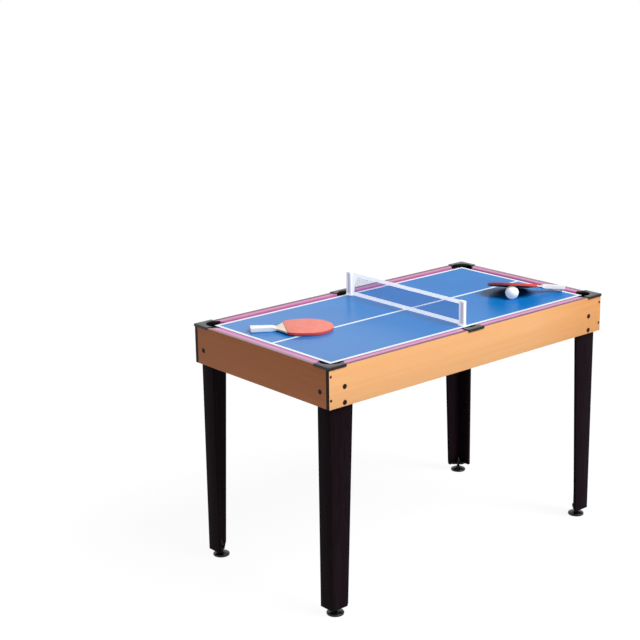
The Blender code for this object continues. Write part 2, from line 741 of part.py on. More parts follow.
def net(lift):
    """The net: a grid whose inner cells are opened, with a tape along its top and its bottom."""
    mesh = bpy.data.meshes.new("net")
    form = bmesh.new()
    rows = NET_ROWS + 2
    bmesh.ops.create_grid(form, x_segments=NET_COLUMNS, y_segments=rows, size=1)
    for corner in form.verts:
        step = round((corner.co.y + 1) / 2 * rows)
        corner.co = (0, corner.co.x * NET_Y, net_row(step))
    low = NET_LIFT + TAPE_HEIGHT
    high = POST_HEIGHT - TAPE_HEIGHT
    form.normal_update()
    cells = [face for face in form.faces if low < face.calc_center_median().z < high]
    bmesh.ops.inset_individual(form, faces=cells, thickness=STRAND / 2, use_even_offset=True)
    bmesh.ops.delete(form, geom=cells, context="FACES")
    form.to_mesh(mesh)
    form.free()
    item = add("net", mesh, TABLE, NETTING, lift)
    cloth = item.modifiers.new("cloth", "SOLIDIFY")
    cloth.thickness = NET_THICK
    cloth.offset = 0


def blade_side(reach):
    """One side of a blade: a full curve from its shoulder, that far ahead of the middle, and a round tip."""
    start = acos((reach / BLADE_SHOULDER) ** (SHOULDER_POWER / 2))
    share = 2 / SHOULDER_POWER
    full = [start + (pi / 2 - start) * step / SHOULDER_STEPS for step in range(SHOULDER_STEPS)]
    shoulder = [(BLADE_SHOULDER * cos(angle) ** share, BLADE_RADIUS * sin(angle) ** share) for angle in full]
    back = [pi / 2 + pi / 2 * step / TIP_STEPS for step in range(TIP_STEPS)]
    return shoulder + [(BLADE_RADIUS * cos(angle), BLADE_RADIUS * sin(angle)) for angle in back]


def both_sides(side):
    """Closes one side of an outline, which ends short of the tip, over the tip with its mirror image."""
    return [*side, (-BLADE_RADIUS, 0), *[(x, -y) for x, y in reversed(side)]]


def rubber_outline():
    return both_sides(blade_side(BLADE_SHOULDER - RUBBER_SETBACK))


def neck_curve(root):
    """Runs from the handle's front out to the root of the neck on a quadratic curve."""
    front = HANDLE_START - SEAT
    shares = [step / NECK_STEPS for step in range(NECK_STEPS)]
    weights = [((1 - share) ** 2, 2 * share * (1 - share), share ** 2) for share in shares]
    start = Vector((front, NECK_HALF))
    bend = Vector((front, NECK_CURVE))
    return [tuple(first * start + second * bend + third * Vector(root)) for first, second, third in weights]


def grip_sections():
    """Where the sections of the grip stand, with their half width and half thickness."""
    thin = HALF_SLOT + HANDLE_LIP
    ramp = [step / HANDLE_RAMP_STEPS for step in range(HANDLE_RAMP_STEPS)]
    stations = [(HANDLE_RAMP * share, thin + (HALF_HANDLE - thin) * sin(pi / 2 * share)) for share in ramp]
    for step in range(HANDLE_STEPS + 1):
        stations.append((HANDLE_RAMP + (HANDLE_LENGTH - HANDLE_RAMP) * step / HANDLE_STEPS, HALF_HANDLE))
    return [
        (HANDLE_START + along, HANDLE_HALF + HANDLE_FLARE * (along / HANDLE_LENGTH) ** 2, half)
        for along, half in stations
    ]


def grip_ring(along, half_width, half_thick):
    """One section of the grip: a box with round corners, the same radius all along."""
    arc = [pi / 2 * step / HANDLE_ROUND_STEPS for step in range(HANDLE_ROUND_STEPS + 1)]
    wide = half_width - HANDLE_ROUND
    thick = half_thick - HANDLE_ROUND
    quarter = [(wide + HANDLE_ROUND * cos(angle), thick + HANDLE_ROUND * sin(angle)) for angle in arc]
    half = quarter + [(-y, z) for y, z in reversed(quarter)]
    return [(along, y, z) for y, z in half + [(-y, -z) for y, z in half]]


def bat_handle():
    """A moulded grip, thin in front and wider at its end, with a blind slot for the tongue of the blade."""
    mesh = bpy.data.meshes.new("grip")
    form = bmesh.new()
    rings = [grip_ring(*section) for section in grip_sections()]
    loops = [[form.verts.new(point) for point in ring] for ring in rings]
    for near, far in zip(loops, loops[1:]):
        for at, corner in enumerate(near):
            form.faces.new((corner, near[at - 1], far[at - 1], far[at]))
    form.faces.new(loops[0])
    form.faces.new(loops[-1])
    bmesh.ops.recalc_face_normals(form, faces=form.faces)
    form.to_mesh(mesh)
    form.free()
    low = (HANDLE_START - OVERRUN, -TONGUE_HALF - SEAT, -HALF_SLOT)
    slot = block(low, (TONGUE_END + SEAT, TONGUE_HALF + SEAT, HALF_SLOT))
    return smooth(cut(mesh, slot))


def bat(name, axis):
    """A bat in its own frame: middle of the blade at the origin, handle towards +X, red face up."""
    side = blade_side(BLADE_SHOULDER - NECK_SETBACK)
    tongue = [(TONGUE_END, TONGUE_HALF), (HANDLE_START - SEAT, TONGUE_HALF)]
    wood = both_sides([*tongue, *neck_curve(side[0]), *side])
    add(f"{name}_blade", slab(wood, -BLADE_THICK / 2, BLADE_THICK / 2), TABLE, PALE_WOOD, axis)
    sheet = slab(rubber_outline(), HALF_SLOT, HALF_BAT)
    under = moved(sheet, Matrix.Diagonal((1, 1, -1, 1)))
    add(f"{name}_red_rubber", sheet, TABLE, RED_RUBBER, axis)
    add(f"{name}_black_rubber", under, TABLE, BLACK_RUBBER, axis)
    add(f"{name}_handle", bat_handle(), TABLE, HANDLE_WHITE, axis)


def lowest(points, turn):
    """The lowest height that any of these points of a bat has, once the bat is turned."""
    return min((turn @ Vector(point)).z for point in points)


def under_face():
    return [(x, y, -HALF_BAT) for x, y in rubber_outline()]


def grip_points():
    return [point for section in grip_sections() for point in grip_ring(*section)]


def flat_bat(lift):
    """The bat that lies flat: it rests on the tip of its blade and the thick part of its handle."""
    pitch = (HALF_BAT - HALF_HANDLE) / (BLADE_RADIUS + HANDLE_START + HANDLE_RAMP)
    turn = Matrix.Rotation(pitch, 3, "Y")
    height = BOARD_TOP + SEAT - lowest(under_face() + grip_points(), turn)
    axis = empty("flat_bat_axis", (FLAT_BAT_X, FLAT_BAT_Y, height), lift)
    axis.rotation_euler = (0, pitch, FLAT_BAT_TURN)
    bat("flat_bat", axis)


def leaning_bat(lift):
    """The bat that leans on the ball; its pitch and tilt are worked out, step by step, until it rests.

    The edge of its blade rests on the board and the end of its handle on the cushion of the end panel.
    """
    bearing = Vector((cos(LEAN_BEARING), sin(LEAN_BEARING), 0))
    away = BLADE_RADIUS * LEAN_SHARE
    pitch = 0
    tilt = 0
    for _ in range(LEAN_STEPS):
        turn = Matrix.Rotation(LEANING_BAT_TURN, 3, "Z")
        turn = turn @ Matrix.Rotation(pitch, 3, "Y") @ Matrix.Rotation(tilt, 3, "X")
        normal = turn @ Vector((0, 0, 1))
        drop = -lowest(under_face(), turn)
        over_cushion = lowest(grip_points(), turn) + drop - CUSHION_OVER_BOARD
        over_ball = normal.dot(bearing * away + Vector((0, 0, drop - BALL_RADIUS)))
        pitch += over_cushion / HANDLE_END
        tilt += (over_ball - HALF_BAT - BALL_RADIUS - SEAT) / (away + BLADE_RADIUS)
    place = Vector((BALL_X, BALL_Y, BOARD_TOP + SEAT + drop)) + bearing * away
    axis = empty("leaning_bat_axis", place, lift)
    axis.rotation_euler = turn.to_euler()
    bat("leaning_bat", axis)


def ball(lift):
    mesh = bpy.data.meshes.new("ball")
    form = bmesh.new()
    bmesh.ops.create_uvsphere(form, u_segments=BALL_SEGMENTS, v_segments=BALL_RINGS, radius=BALL_RADIUS)
    form.to_mesh(mesh)
    form.free()
    mesh.shade_smooth()
    item = add("tennis_ball", mesh, TABLE, BALL_WHITE, lift)
    item.location = (BALL_X, BALL_Y, BOARD_TOP + SEAT + BALL_RADIUS)


clear_scene()
TABLE = collection("multi_game_table")
CUTTERS = collection("cutters")

BEECH = material("beech laminate", colour(243, 181, 126), 0.45, 0)
CLOTH = material("pink cloth", colour(225, 140, 195), 0.95, 0)
CUSHION = material("pink rail cloth", colour(214, 112, 178), 0.85, 0)
BLACK_PLASTIC = material("black plastic", colour(30, 28, 32), 0.35, 0)
DARK_WOOD = material("dark leg laminate", colour(38, 28, 32), 0.4, 0)
BLACK_STEEL = material("black screws", colour(28, 24, 24), 0.4, 1)
DARK_STEEL = material("dark foot plate", colour(46, 38, 42), 0.4, 1)
BLUE = material("blue board", colour(62, 130, 205), 0.3, 0)
GREY = material("grey hockey wall", colour(60, 62, 68), 0.5, 0)
RED_PLASTIC = material("red plastic", colour(205, 40, 38), 0.4, 0)
WHITE_PLASTIC = material("white plastic", colour(235, 236, 240), 0.35, 0)
NETTING = material("net", colour(220, 225, 240), 0.8, 0)
PALE_WOOD = material("pale plywood", colour(236, 214, 178), 0.6, 0)
RED_RUBBER = material("red rubber", colour(225, 90, 78), 0.5, 0)
BLACK_RUBBER = material("black rubber", colour(30, 28, 30), 0.5, 0)
HANDLE_WHITE = material("cream handle", colour(240, 236, 224), 0.5, 0)
BALL_WHITE = material("white ball", colour(248, 248, 246), 0.4, 0)

side_panels()
end_panels()
pool_bed()
cushion_rails()
pockets()
legs()
leg_bolts()
foot_plates()
levellers()
BOARD_LIFT = empty("board_lift", (0, 0, 0))
tennis_board(BOARD_LIFT)
hockey_walls(BOARD_LIFT)
hockey_goals(BOARD_LIFT)
NET_LIFT_AXIS = empty("net_lift", (0, 0, BOARD_TOP), BOARD_LIFT)
net_posts(NET_LIFT_AXIS)
net(NET_LIFT_AXIS)
flat_bat(BOARD_LIFT)
leaning_bat(BOARD_LIFT)
ball(BOARD_LIFT)
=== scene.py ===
"""Multi game table on four legs, with its table tennis board laid in.

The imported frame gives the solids. Each section below dresses one piece, in the order in which the table
is put together. Lengths are in metres: X along the table, Y away from its front, Z up from the floor.
"""

from math import atan, cos, pi, radians, sin

import bmesh
import bpy
import numpy as np
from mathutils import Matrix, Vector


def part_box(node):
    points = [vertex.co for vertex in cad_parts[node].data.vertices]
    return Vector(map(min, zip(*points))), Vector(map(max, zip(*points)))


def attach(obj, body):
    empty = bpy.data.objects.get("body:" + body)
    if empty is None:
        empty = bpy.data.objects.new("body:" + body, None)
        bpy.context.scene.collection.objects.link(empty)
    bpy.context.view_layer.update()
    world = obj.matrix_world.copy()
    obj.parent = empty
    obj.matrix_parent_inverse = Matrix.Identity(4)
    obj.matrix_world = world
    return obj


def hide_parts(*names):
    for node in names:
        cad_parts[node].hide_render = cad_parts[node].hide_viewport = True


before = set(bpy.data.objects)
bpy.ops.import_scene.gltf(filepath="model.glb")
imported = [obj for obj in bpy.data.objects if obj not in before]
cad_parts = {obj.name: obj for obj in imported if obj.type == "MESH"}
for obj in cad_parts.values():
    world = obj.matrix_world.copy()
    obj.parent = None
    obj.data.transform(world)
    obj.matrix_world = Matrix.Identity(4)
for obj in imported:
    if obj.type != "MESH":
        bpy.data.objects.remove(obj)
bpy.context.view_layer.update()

# Side panels
# Two long chipboard panels with a printed beech foil on their faces and a dark band on their edges. They run
# the table's full length, and a stopped groove inside each of them holds the pool bed.


def display(red, green, blue):
    """A colour as a screen shows it, 0 to 255 a channel, as the linear colour that a shader takes."""
    level = np.array([red, green, blue]) / 255
    linear = np.where(level < 0.04045, level / 12.92, ((level + 0.055) / 1.055) ** 2.4)
    return (*linear.tolist(), 1)


class Shade:
    """A shader socket that can stand in a sum: each operator adds its Math node."""

    def __init__(self, nodes, socket):
        self.nodes = nodes
        self.socket = socket

    def math(self, operation, *others):
        return self.nodes.node("ShaderNodeMath", {"operation": operation}, dict(enumerate((self, *others))))

    def __add__(self, other):
        return self.math("ADD", other)

    def __sub__(self, other):
        return self.math("SUBTRACT", other)

    def __mul__(self, other):
        return self.math("MULTIPLY", other)

    def __gt__(self, other):
        return self.math("GREATER_THAN", other)

    def __lt__(self, other):
        return self.math("LESS_THAN", other)

    def __abs__(self):
        return self.math("ABSOLUTE")

    __radd__ = __add__
    __rmul__ = __mul__


class Nodes:
    """The nodes of one material, or of the world."""

    def __init__(self, tree):
        self.tree = tree

    def link(self, inputs, sockets):
        """Gives each named input its value, or the link from a shade."""
        for socket, value in sockets.items():
            if isinstance(value, Shade):
                self.tree.links.new(value.socket, inputs[socket])
            else:
                inputs[socket].default_value = value

    def node(self, kind, settings=None, sockets=None, out=0):
        """Adds a node: its settings first, then the value or the link of each socket."""
        made = self.tree.nodes.new(kind)
        for setting, value in (settings or {}).items():
            setattr(made, setting, value)
        self.link(made.inputs, sockets or {})
        return Shade(self, made.outputs[out])

    def seen(self):
        """1 to the camera, to gloss and through clear things, and 0 to the light that falls on the table."""
        rays = self.node("ShaderNodeLightPath").socket.node.outputs
        kinds = ("Is Camera Ray", "Is Glossy Ray", "Is Transmission Ray")
        camera, gloss, through = [Shade(self, rays[kind]) for kind in kinds]
        return camera.math("MAXIMUM", gloss).math("MAXIMUM", through)


class Finish(Nodes):
    """The surface of one kind of piece: a Principled shader, and the nodes that vary it."""

    def __init__(self, name, steady):
        self.material = bpy.data.materials.new(name)
        self.material.use_nodes = True
        super().__init__(self.material.node_tree)
        self.shader = self.tree.nodes["Principled BSDF"]
        self.feed(steady)

    def place(self):
        """Where a point lies in the world while the table rests."""
        return self.node("ShaderNodeTexCoord", out="Object")

    def own_place(self):
        """Where a point lies in its piece's own frame, before the piece was put in place."""
        return self.node("ShaderNodeAttribute", {"attribute_name": "own_place"}, out="Vector")

    def split(self, vector):
        outputs = self.node("ShaderNodeSeparateXYZ", {}, {0: vector}).socket.node.outputs
        return [Shade(self, output) for output in outputs]

    def join(self, x, y, z):
        return self.node("ShaderNodeCombineXYZ", {}, {0: x, 1: y, 2: z})

    def noise(self, vector, scale, stretch=(1, 1, 1), detail=2, distortion=0):
        """Noise of that many cells a metre along each axis, from 0 to 1."""
        cells = tuple(scale * s for s in stretch)
        spread = self.node("ShaderNodeMapping", {}, {"Vector": vector, "Scale": cells})
        sockets = {"Vector": spread, "Scale": 1, "Detail": detail, "Distortion": distortion}
        return self.node("ShaderNodeTexNoise", {}, sockets)

    def ease(self, value, low, high):
        """0 below low, 1 above high and a smooth step between."""
        sockets = {"Value": value, "From Min": low, "From Max": high}
        return self.node("ShaderNodeMapRange", {"interpolation_type": "SMOOTHSTEP"}, sockets)

    def mix(self, share, first, second, blend="MIX"):
        """The first colour, with that share of the second laid over it."""
        settings = {"data_type": "RGBA", "blend_type": blend}
        return self.node("ShaderNodeMix", settings, {0: share, 6: first, 7: second}, 2)

    def grooves(self, height, depth):
        """Turns a height of 0 to 1 into relief that many metres deep."""
        return self.node("ShaderNodeBump", {}, {"Height": height, "Distance": depth, "Strength": 1})

    def feed(self, sockets):
        """Sets the Principled shader's own sockets."""
        self.link(self.shader.inputs, sockets)
        return self


def plain_finish(name, steady, clouds, tones, grain, depth, rough):
    """A finish of one stuff. Its tone runs between the tones over the middle of its clouds, its grain is that
    deep, and its roughness is the first number of rough, and the others times the grain and the clouds."""
    finish = Finish(name, steady)
    place = finish.place()
    (low, high), clouds = clouds[0], finish.noise(place, **clouds[1])
    grain = finish.noise(place, **grain)
    return finish.feed({
        "Base Color": finish.mix(finish.ease(clouds, low, high), *(display(*tone) for tone in tones)),
        "Roughness": rough[0] + grain * rough[1] + clouds * rough[2],
        "Normal": finish.grooves(grain, depth),
    })


def painted(node, finish):
    """Gives its finish to a solid that is shown as it is."""
    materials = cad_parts[node].data.materials
    materials.clear()
    materials.append(finish.material)


def grid(points, capped=True):
    """A shell over points[row, column]: each face joins a point, the next in its row, and those two a row on.
    The last column joins the first. Where capped, the first and last rows are closed."""
    rows, columns = points.shape[:2]
    number = np.arange(rows * columns).reshape(rows, columns)
    following = np.roll(number, -1, axis=1)
    quads = np.stack([number[:-1], following[:-1], following[1:], number[1:]], axis=-1)
    caps = [number[0][::-1], number[-1]] if capped else []
    return points.reshape(-1, 3), quads.reshape(-1, 4), caps


def piece(name, shells, finish, body, replaced=(), place=None, edge=0, sharp=40):
    """Joins shells into one object, in place on its body. A point's place before that stays as own_place."""
    counts = np.cumsum([0] + [len(points) for points, _, _ in shells])
    own = np.concatenate([points for points, _, _ in shells])
    faces = []
    for start, (_, quads, caps) in zip(counts, shells):
        faces += (quads + start).tolist() + [(cap + start).tolist() for cap in caps]
    matrix = np.eye(4) if place is None else place
    mesh = bpy.data.meshes.new(name)
    mesh.from_pydata((own @ matrix[:3, :3].T + matrix[:3, 3]).tolist(), [], faces)
    mesh.attributes.new("own_place", "FLOAT_VECTOR", "POINT").data.foreach_set("vector", own.ravel())
    form = bmesh.new()
    form.from_mesh(mesh)
    bmesh.ops.remove_doubles(form, verts=form.verts, dist=1e-6)
    bmesh.ops.recalc_face_normals(form, faces=form.faces)
    form.to_mesh(mesh)
    form.free()
    mesh.shade_smooth()
    mesh.set_sharp_from_angle(angle=radians(sharp))
    made = bpy.data.objects.new(name, mesh)
    bpy.context.scene.collection.objects.link(made)
    mesh.materials.append(finish.material)
    if edge:
        rounding = made.modifiers.new("rounding", "BEVEL")
        rounding.width = edge
        rounding.segments = 2
        rounding.limit_method = "ANGLE"
        rounding.angle_limit = radians(55)
        rounding.harden_normals = True
    if replaced:
        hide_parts(*replaced)
    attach(made, body)
    return made


def softened(corners, radius, steps=2):
    """Rounds the corners of closed outlines. At a corner c the outline follows (1-s)^2 a + 2s(1-s) c + s^2 b,
    where a and b lie one radius from c along the sides that meet there."""
    radius = np.broadcast_to(radius, corners.shape[:-1])[..., None]
    back = np.roll(corners, 1, axis=-2) - corners
    ahead = np.roll(corners, -1, axis=-2) - corners
    a = corners + radius * back / np.linalg.norm(back, axis=-1, keepdims=True)
    b = corners + radius * ahead / np.linalg.norm(ahead, axis=-1, keepdims=True)
    s = np.linspace(0, 1, steps + 1)[:, None]
    a, b, c = (part[..., None, :] for part in (a, b, corners))
    curve = (1 - s) ** 2 * a + 2 * s * (1 - s) * c + s ** 2 * b
    return curve.reshape(*corners.shape[:-2], -1, 2)


def turned(r, z, angle):
    """Points about Z, by their distance from it, their height and their angle."""
    return np.stack([r * np.cos(angle), r * np.sin(angle), z + 0 * angle], axis=-1)


def node_box(node):
    """The low and the high corner of a solid's box."""
    return [np.array(corner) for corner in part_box(node)]


def carried(outlines, stations, axes):
    """Outlines of two axes, one at each station of the third, as points[station, outline corner]."""
    points = np.zeros((*outlines.shape[:2], 3))
    points[..., axes[0]] = np.asarray(stations)[:, None]
    points[..., axes[1]] = outlines[..., 0]
    points[..., axes[2]] = outlines[..., 1]
    return points


SIDES = {"front": -1, "rear": 1}
ENDS = {"left": -1, "right": 1}
CORNERS = {f"{side}_{end}": (x, y) for side, y in SIDES.items() for end, x in ENDS.items()}
SEAT = 0.0003

BED_LOW, BED_HIGH = node_box("pool_bed")
PANEL_LOW, PANEL_HIGH = node_box("side_panel_rear")
BOX_X, BOX_Y, RAIL_TOP = PANEL_HIGH
INNER_Y, PANEL_UNDER = PANEL_LOW[1:]
PANEL_THICK = BOX_Y - INNER_Y
INNER_X = BOX_X - PANEL_THICK
GROOVE_DEEP = BED_HIGH[1] + SEAT - INNER_Y


def panel_outlines(depths):
    """Section of a panel with its outer face away from zero; the groove behind it is as deep as each of the
    depths."""
    low, high = BED_LOW[2] - SEAT, BED_HIGH[2] + SEAT
    faces = [(PANEL_THICK, PANEL_UNDER), (PANEL_THICK, RAIL_TOP), (0, RAIL_TOP), (0, high), (1, high),
             (1, low), (0, low), (0, PANEL_UNDER)]
    outlines = np.tile(np.array(faces, float), (len(depths), 1, 1))
    outlines[:, 4:6, 0] = np.maximum(depths, 1e-4)[:, None]
    return softened(outlines, [5e-4, 5e-4, 3e-4, 3e-5, 3e-5, 3e-5, 3e-5, 3e-4])


def beech_foil(name, along, face, cast, rim):
    """Printed beech: long pores, soft bands and short dark flecks along one axis, edge bands by place.

    The cast is painted shade: it darkens and warms the end panels, which face away from the light. The rim is
    the colour of the top edge, where the dark edge band is painted paler as painted light from above. Painted
    shade also darkens the foil towards the right end.
    """
    painted_right_end_shade = (0.9, 0.8, 0.68, 1)
    foil = Finish(name, {"Roughness": 0.42, "Specular IOR Level": 0.12})
    place = foil.place()
    coordinates = foil.split(place)
    lengthwise = [1.0, 1.0, 1.0]
    lengthwise[along] = 0.014
    pores = foil.noise(place, 1500, lengthwise, 3, 0.3)
    lengthwise[along] = 0.035
    bands = foil.noise(place, 55, lengthwise, 4, 0.8)
    lengthwise[along] = 0.12
    flecks = foil.ease(foil.noise(place, 1100, lengthwise, 1), 0.66, 0.78)
    broad = foil.noise(place, 3, (1, 1, 1), 1)
    wood = foil.mix(foil.ease(bands, 0.3, 0.72), display(236, 176, 118), display(241, 184, 127))
    wood = foil.mix(foil.ease(pores, 0.35, 0.7) * 0.25, wood, display(228, 162, 106))
    wood = foil.mix(flecks * 0.25, wood, display(206, 136, 84))
    wood = foil.mix(broad * 0.2, wood, display(242, 178, 126))
    # Painted shade: the foil is made darker towards the right end.
    wood = foil.mix(foil.ease(coordinates[0], 0.2, 0.52), wood, painted_right_end_shade, "MULTIPLY")
    # Painted shade: the cast darkens and warms the end panels' foil.
    wood = foil.mix(1.0, wood, cast, "MULTIPLY")
    reach = abs(coordinates[face])
    height = coordinates[2]
    inside = reach < (INNER_Y if face == 1 else INNER_X) + 2e-4
    wood = foil.mix(inside, wood, display(176, 136, 104))
    band = (height > RAIL_TOP - 3e-4).math("MAXIMUM", height < PANEL_UNDER + 3e-4)
    if face == 1:
        band = band.math("MAXIMUM", abs(coordinates[0]) > BOX_X - 3e-4)
    streaks = foil.noise(place, 900, (1, 1, 1), 2)
    dark = foil.mix(streaks, display(16, 3, 0), display(34, 14, 8))
    # Painted light: the top edge of the dark band takes the paler rim colour.
    dark = foil.mix(height > RAIL_TOP - 3e-4, dark, foil.mix(streaks * 0.2, rim, display(70, 54, 60)))
    relief = pores * 0.6 + flecks * 0.4
    return foil.feed({
        "Base Color": foil.mix(band, wood, dark),
        "Roughness": 0.36 + pores * 0.12,
        "Normal": foil.grooves(relief, 3e-5),
    })


# Both rim colours are painted light on the panels' top edges, paler on the end panels.
SIDE_FOIL = beech_foil("beech foil, long panels", 0, 1, (1, 1, 1, 1), display(138, 106, 120))
# The end panels' cast is painted shade.
END_FOIL = beech_foil("beech foil, end panels", 1, 0, (0.64, 0.43, 0.39, 1), display(168, 144, 156))
groove_end = BED_HIGH[0] + SEAT
stations = np.array([-BOX_X, -groove_end, -groove_end, groove_end, groove_end, BOX_X])
outlines = panel_outlines(np.array([0, 0, GROOVE_DEEP, GROOVE_DEEP, 0, 0]))
side_points = carried(outlines, stations, (0, 1, 2)) + (0, INNER_Y, 0)
for side, y in SIDES.items():
    shell = grid(side_points * (1, y, 1))
    piece(f"beech_panel_{side}", [shell], SIDE_FOIL, "cabinet", [f"side_panel_{side}"], edge=4e-4)

# End panels
# Two short panels of the same board, held between the long ones, so that the long ones' dark end grain shows
# as a strip at every corner. Their groove runs right through.
end_reach = node_box("end_panel_right")[1][1]
stations = np.linspace(-end_reach, end_reach, 3)
short_points = carried(panel_outlines(np.full(3, GROOVE_DEEP)), stations, (1, 0, 2)) + (INNER_X, 0, 0)
for end, x in ENDS.items():
    shell = grid(short_points * (x, 1, 1))
    piece(f"beech_panel_{end}", [shell], END_FOIL, "cabinet", [f"end_panel_{end}"], edge=4e-4)

# Panel screws
# Small black wood screws with a cross recess, two at each end of a long panel, hold it to the end panel
# behind. Their crowned heads stand just proud of the foil.


def screw(radius, crown, shank, length, around=48, rings=15):
    """A crowned head on a plain shank, its seat at Z zero. Over the seat the head is crown (1 - 0.7 (r/R)^2)
    high, less a cross recess: a point sinks where it is near an arm's middle line and in the arm's reach."""
    angle = np.linspace(0, 2 * pi, around, endpoint=False)
    across = np.linspace(0, 1, rings)[:, None]
    r = radius * across * np.ones(around)
    from_arm = np.minimum(np.abs(r * np.sin(angle)), np.abs(r * np.cos(angle)))
    arm_half, side_slope, arm_reach, end_slope = 0.17, 0.09, 0.62, 0.14
    in_arm = np.clip((arm_half - from_arm / radius) / side_slope, 0, 1)
    in_arm = in_arm * np.clip((arm_reach - across) / end_slope, 0, 1)
    sunk = 0.85 * crown * in_arm * (1 - 0.4 * across)
    z = crown * (1 - 0.7 * across ** 2) - sunk
    rim = np.array([(radius, 0.12 * crown), (radius * 0.985, 2e-5), (shank, 2e-5), (shank, -length),
                    (0, -length)])
    r = np.concatenate([r, rim[:, :1] * np.ones(around)])
    z = np.concatenate([z, rim[:, 1:] * np.ones(around)])
    return grid(turned(r, z, angle), capped=False)


def pointing(axis, place, turn=0.0):
    """Turns a piece's own Z to an axis, after a turn about that Z, and moves its origin to a place."""
    z = np.array(axis) / np.linalg.norm(axis)
    x = np.cross((0, 0, 1), z) if abs(z[2]) < 0.99 else np.array((1.0, 0, 0))
    x = x / np.linalg.norm(x)
    y = np.cross(z, x)
    matrix = np.eye(4)
    matrix[:3, 0] = cos(turn) * x + sin(turn) * y
    matrix[:3, 1] = cos(turn) * y - sin(turn) * x
    matrix[:3, 2] = z
    matrix[:3, 3] = place
    return matrix


BLACK_STEEL = plain_finish(
    "black plated steel", {"Metallic": 0.6, "Specular IOR Level": 0.2},
    [(0.35, 0.7), {"scale": 900, "detail": 3}], [(20, 15, 15), (46, 38, 36)],
    {"scale": 6000, "detail": 1}, 1e-5, rough=(0.3, 0, 0.18))
PANEL_SCREW = {"radius": 0.0037, "crown": 0.0012, "shank": 0.0016, "length": 0.016}
SCREW_X = 0.541
SCREW_HEIGHTS = {"upper": 0.694, "lower": 0.629}
for corner, (x, y) in CORNERS.items():
    for which, height in SCREW_HEIGHTS.items():
        place = pointing((0, y, 0), (x * SCREW_X, y * (BOX_Y + 2e-5), height), turn=0.3 + x * 0.5)
        piece(f"panel_screw_{corner}_{which}", [screw(**PANEL_SCREW)], BLACK_STEEL, "cabinet", place=place)

# Pool bed
# A thin board in the panels' grooves, with pink cloth glued to its top and plain brown hardboard below.


def nap(finish, place, cells):
    """Height of a cloth's nap: crossed threads that many to the metre, roughened by fine fibres."""
    x, y = finish.split(place)[:2]
    warp = (x * (2 * pi * cells)).math("SINE") * (y * (2 * pi * cells)).math("SINE")
    fibres = finish.noise(place, 2600, detail=3)
    return warp * 0.22 + fibres * 0.8


def bed_cloth():
    """Pink cloth with a nap on the upper face, and brown hardboard on the others."""
    cloth = Finish("pink bed cloth", {"Roughness": 0.9, "Sheen Weight": 0.25, "Sheen Roughness": 0.5,
                                      "Sheen Tint": display(255, 215, 240), "Specular IOR Level": 0.25})
    place = cloth.place()
    height = cloth.split(place)[2]
    weave = nap(cloth, place, 900)
    clouds = cloth.noise(place, 14, detail=3)
    pink = cloth.mix(cloth.ease(clouds, 0.3, 0.7), display(216, 112, 184), display(232, 134, 198))
    pink = cloth.mix(weave * 0.25, pink, display(190, 84, 156))
    board = cloth.mix(cloth.noise(place, 700, (1, 1, 1), 4), display(120, 84, 58), display(150, 112, 82))
    top = height > BED_HIGH[2] - 4e-4
    return cloth.feed({
        "Base Color": cloth.mix(top, board, pink),
        "Normal": cloth.grooves(weave, 1.2e-4),
    })


painted("pool_bed", bed_cloth())

# Cushion rails
# Firm strips wrapped in pink cloth, two on each long side and one on each end, glued to the panels. The cloth
# is drawn over a round nose and round the slanted ends, where it gathers a little.
RAIL_FLARE = 0.020
NOSE_X = node_box("rail_cushion_right_end")[0][0]
NOSE_Y = node_box("rail_cushion_rear_right")[0][1]


def cushion_points(reach, width, height, rows=61):
    """A rail along X from -reach to reach at its nose; its back lies at Y zero and its nose at -width.

    The section is a crowned top, a round nose and a face that leans back to a narrow foot. Towards an end
    it is drawn in by R (1 - cos t) while it runs on by R sin t, and the back runs further by the flare.
    """
    end_round = 0.0022
    corners = np.array([(0, 0), (0, height), (0.5 * width, height + 5e-4), (width - 1e-3, height - 4e-4),
                        (width, height - 0.0098), (0.57 * width, 0)])
    outline = softened(corners, [4e-4, 8e-4, 5e-3, 6e-3, 2.6e-3, 8e-4], 5)
    middle = outline.mean(axis=0)
    turn = np.linspace(0, pi / 2, 5)
    drawn = end_round * (1 - np.cos(turn))
    ahead = end_round * np.sin(turn) - end_round
    inner = np.linspace(-reach, reach, rows)[1:-1]
    spots = np.concatenate([-reach - ahead[::-1], inner, reach + ahead])
    inset = np.concatenate([drawn[::-1], np.zeros(rows - 2), drawn])
    arm = outline - middle
    shrink = 1 - inset[:, None] / np.linalg.norm(arm, axis=1)
    section = middle + arm * shrink[..., None]
    side = np.clip(spots / reach, -1, 1)
    lean = RAIL_FLARE * (1 - section[..., 0] / width) * (side ** 3)[:, None]
    pinch = 1.5e-4 * np.sin(spots * 900) * np.abs(side) ** 12
    section = section * (1 + pinch[:, None, None])
    return np.stack([spots[:, None] + lean, -section[..., 0], section[..., 1]], axis=-1)


def cushion_cloth():
    """Pink cloth, darker towards the nose by painted shade and paler towards the panel by painted light on
    the top.
    """
    cloth = Finish("pink cushion cloth", {"Roughness": 0.8, "Sheen Weight": 0.08, "Sheen Roughness": 0.4,
                                          "Sheen Tint": display(255, 205, 235), "Specular IOR Level": 0.12})
    place = cloth.place()
    own = cloth.own_place()
    weave = nap(cloth, place, 1000)
    clouds = cloth.noise(place, 30, detail=3)
    creases = cloth.noise(own, 160, (0.5, 1, 1), 3, 1.2)
    x, y = cloth.split(place)[:2]
    # Painted shade on the nose and painted light on the top, graded by the distance from the nose.
    from_nose = (abs(x) - NOSE_X).math("MAXIMUM", abs(y) - NOSE_Y)
    nose = cloth.mix(cloth.ease(clouds, 0.3, 0.7), display(158, 60, 120), display(168, 72, 132))
    back = cloth.mix(clouds, display(222, 158, 200), display(230, 172, 212))
    pink = cloth.mix(cloth.ease(from_nose, -0.003, 0.022), nose, back)
    pink = cloth.mix(weave * 0.1, pink, display(186, 80, 150))
    return cloth.feed({
        "Base Color": pink,
        "Normal": cloth.grooves(weave * 0.5 + creases * 0.8, 1.6e-4),
    })


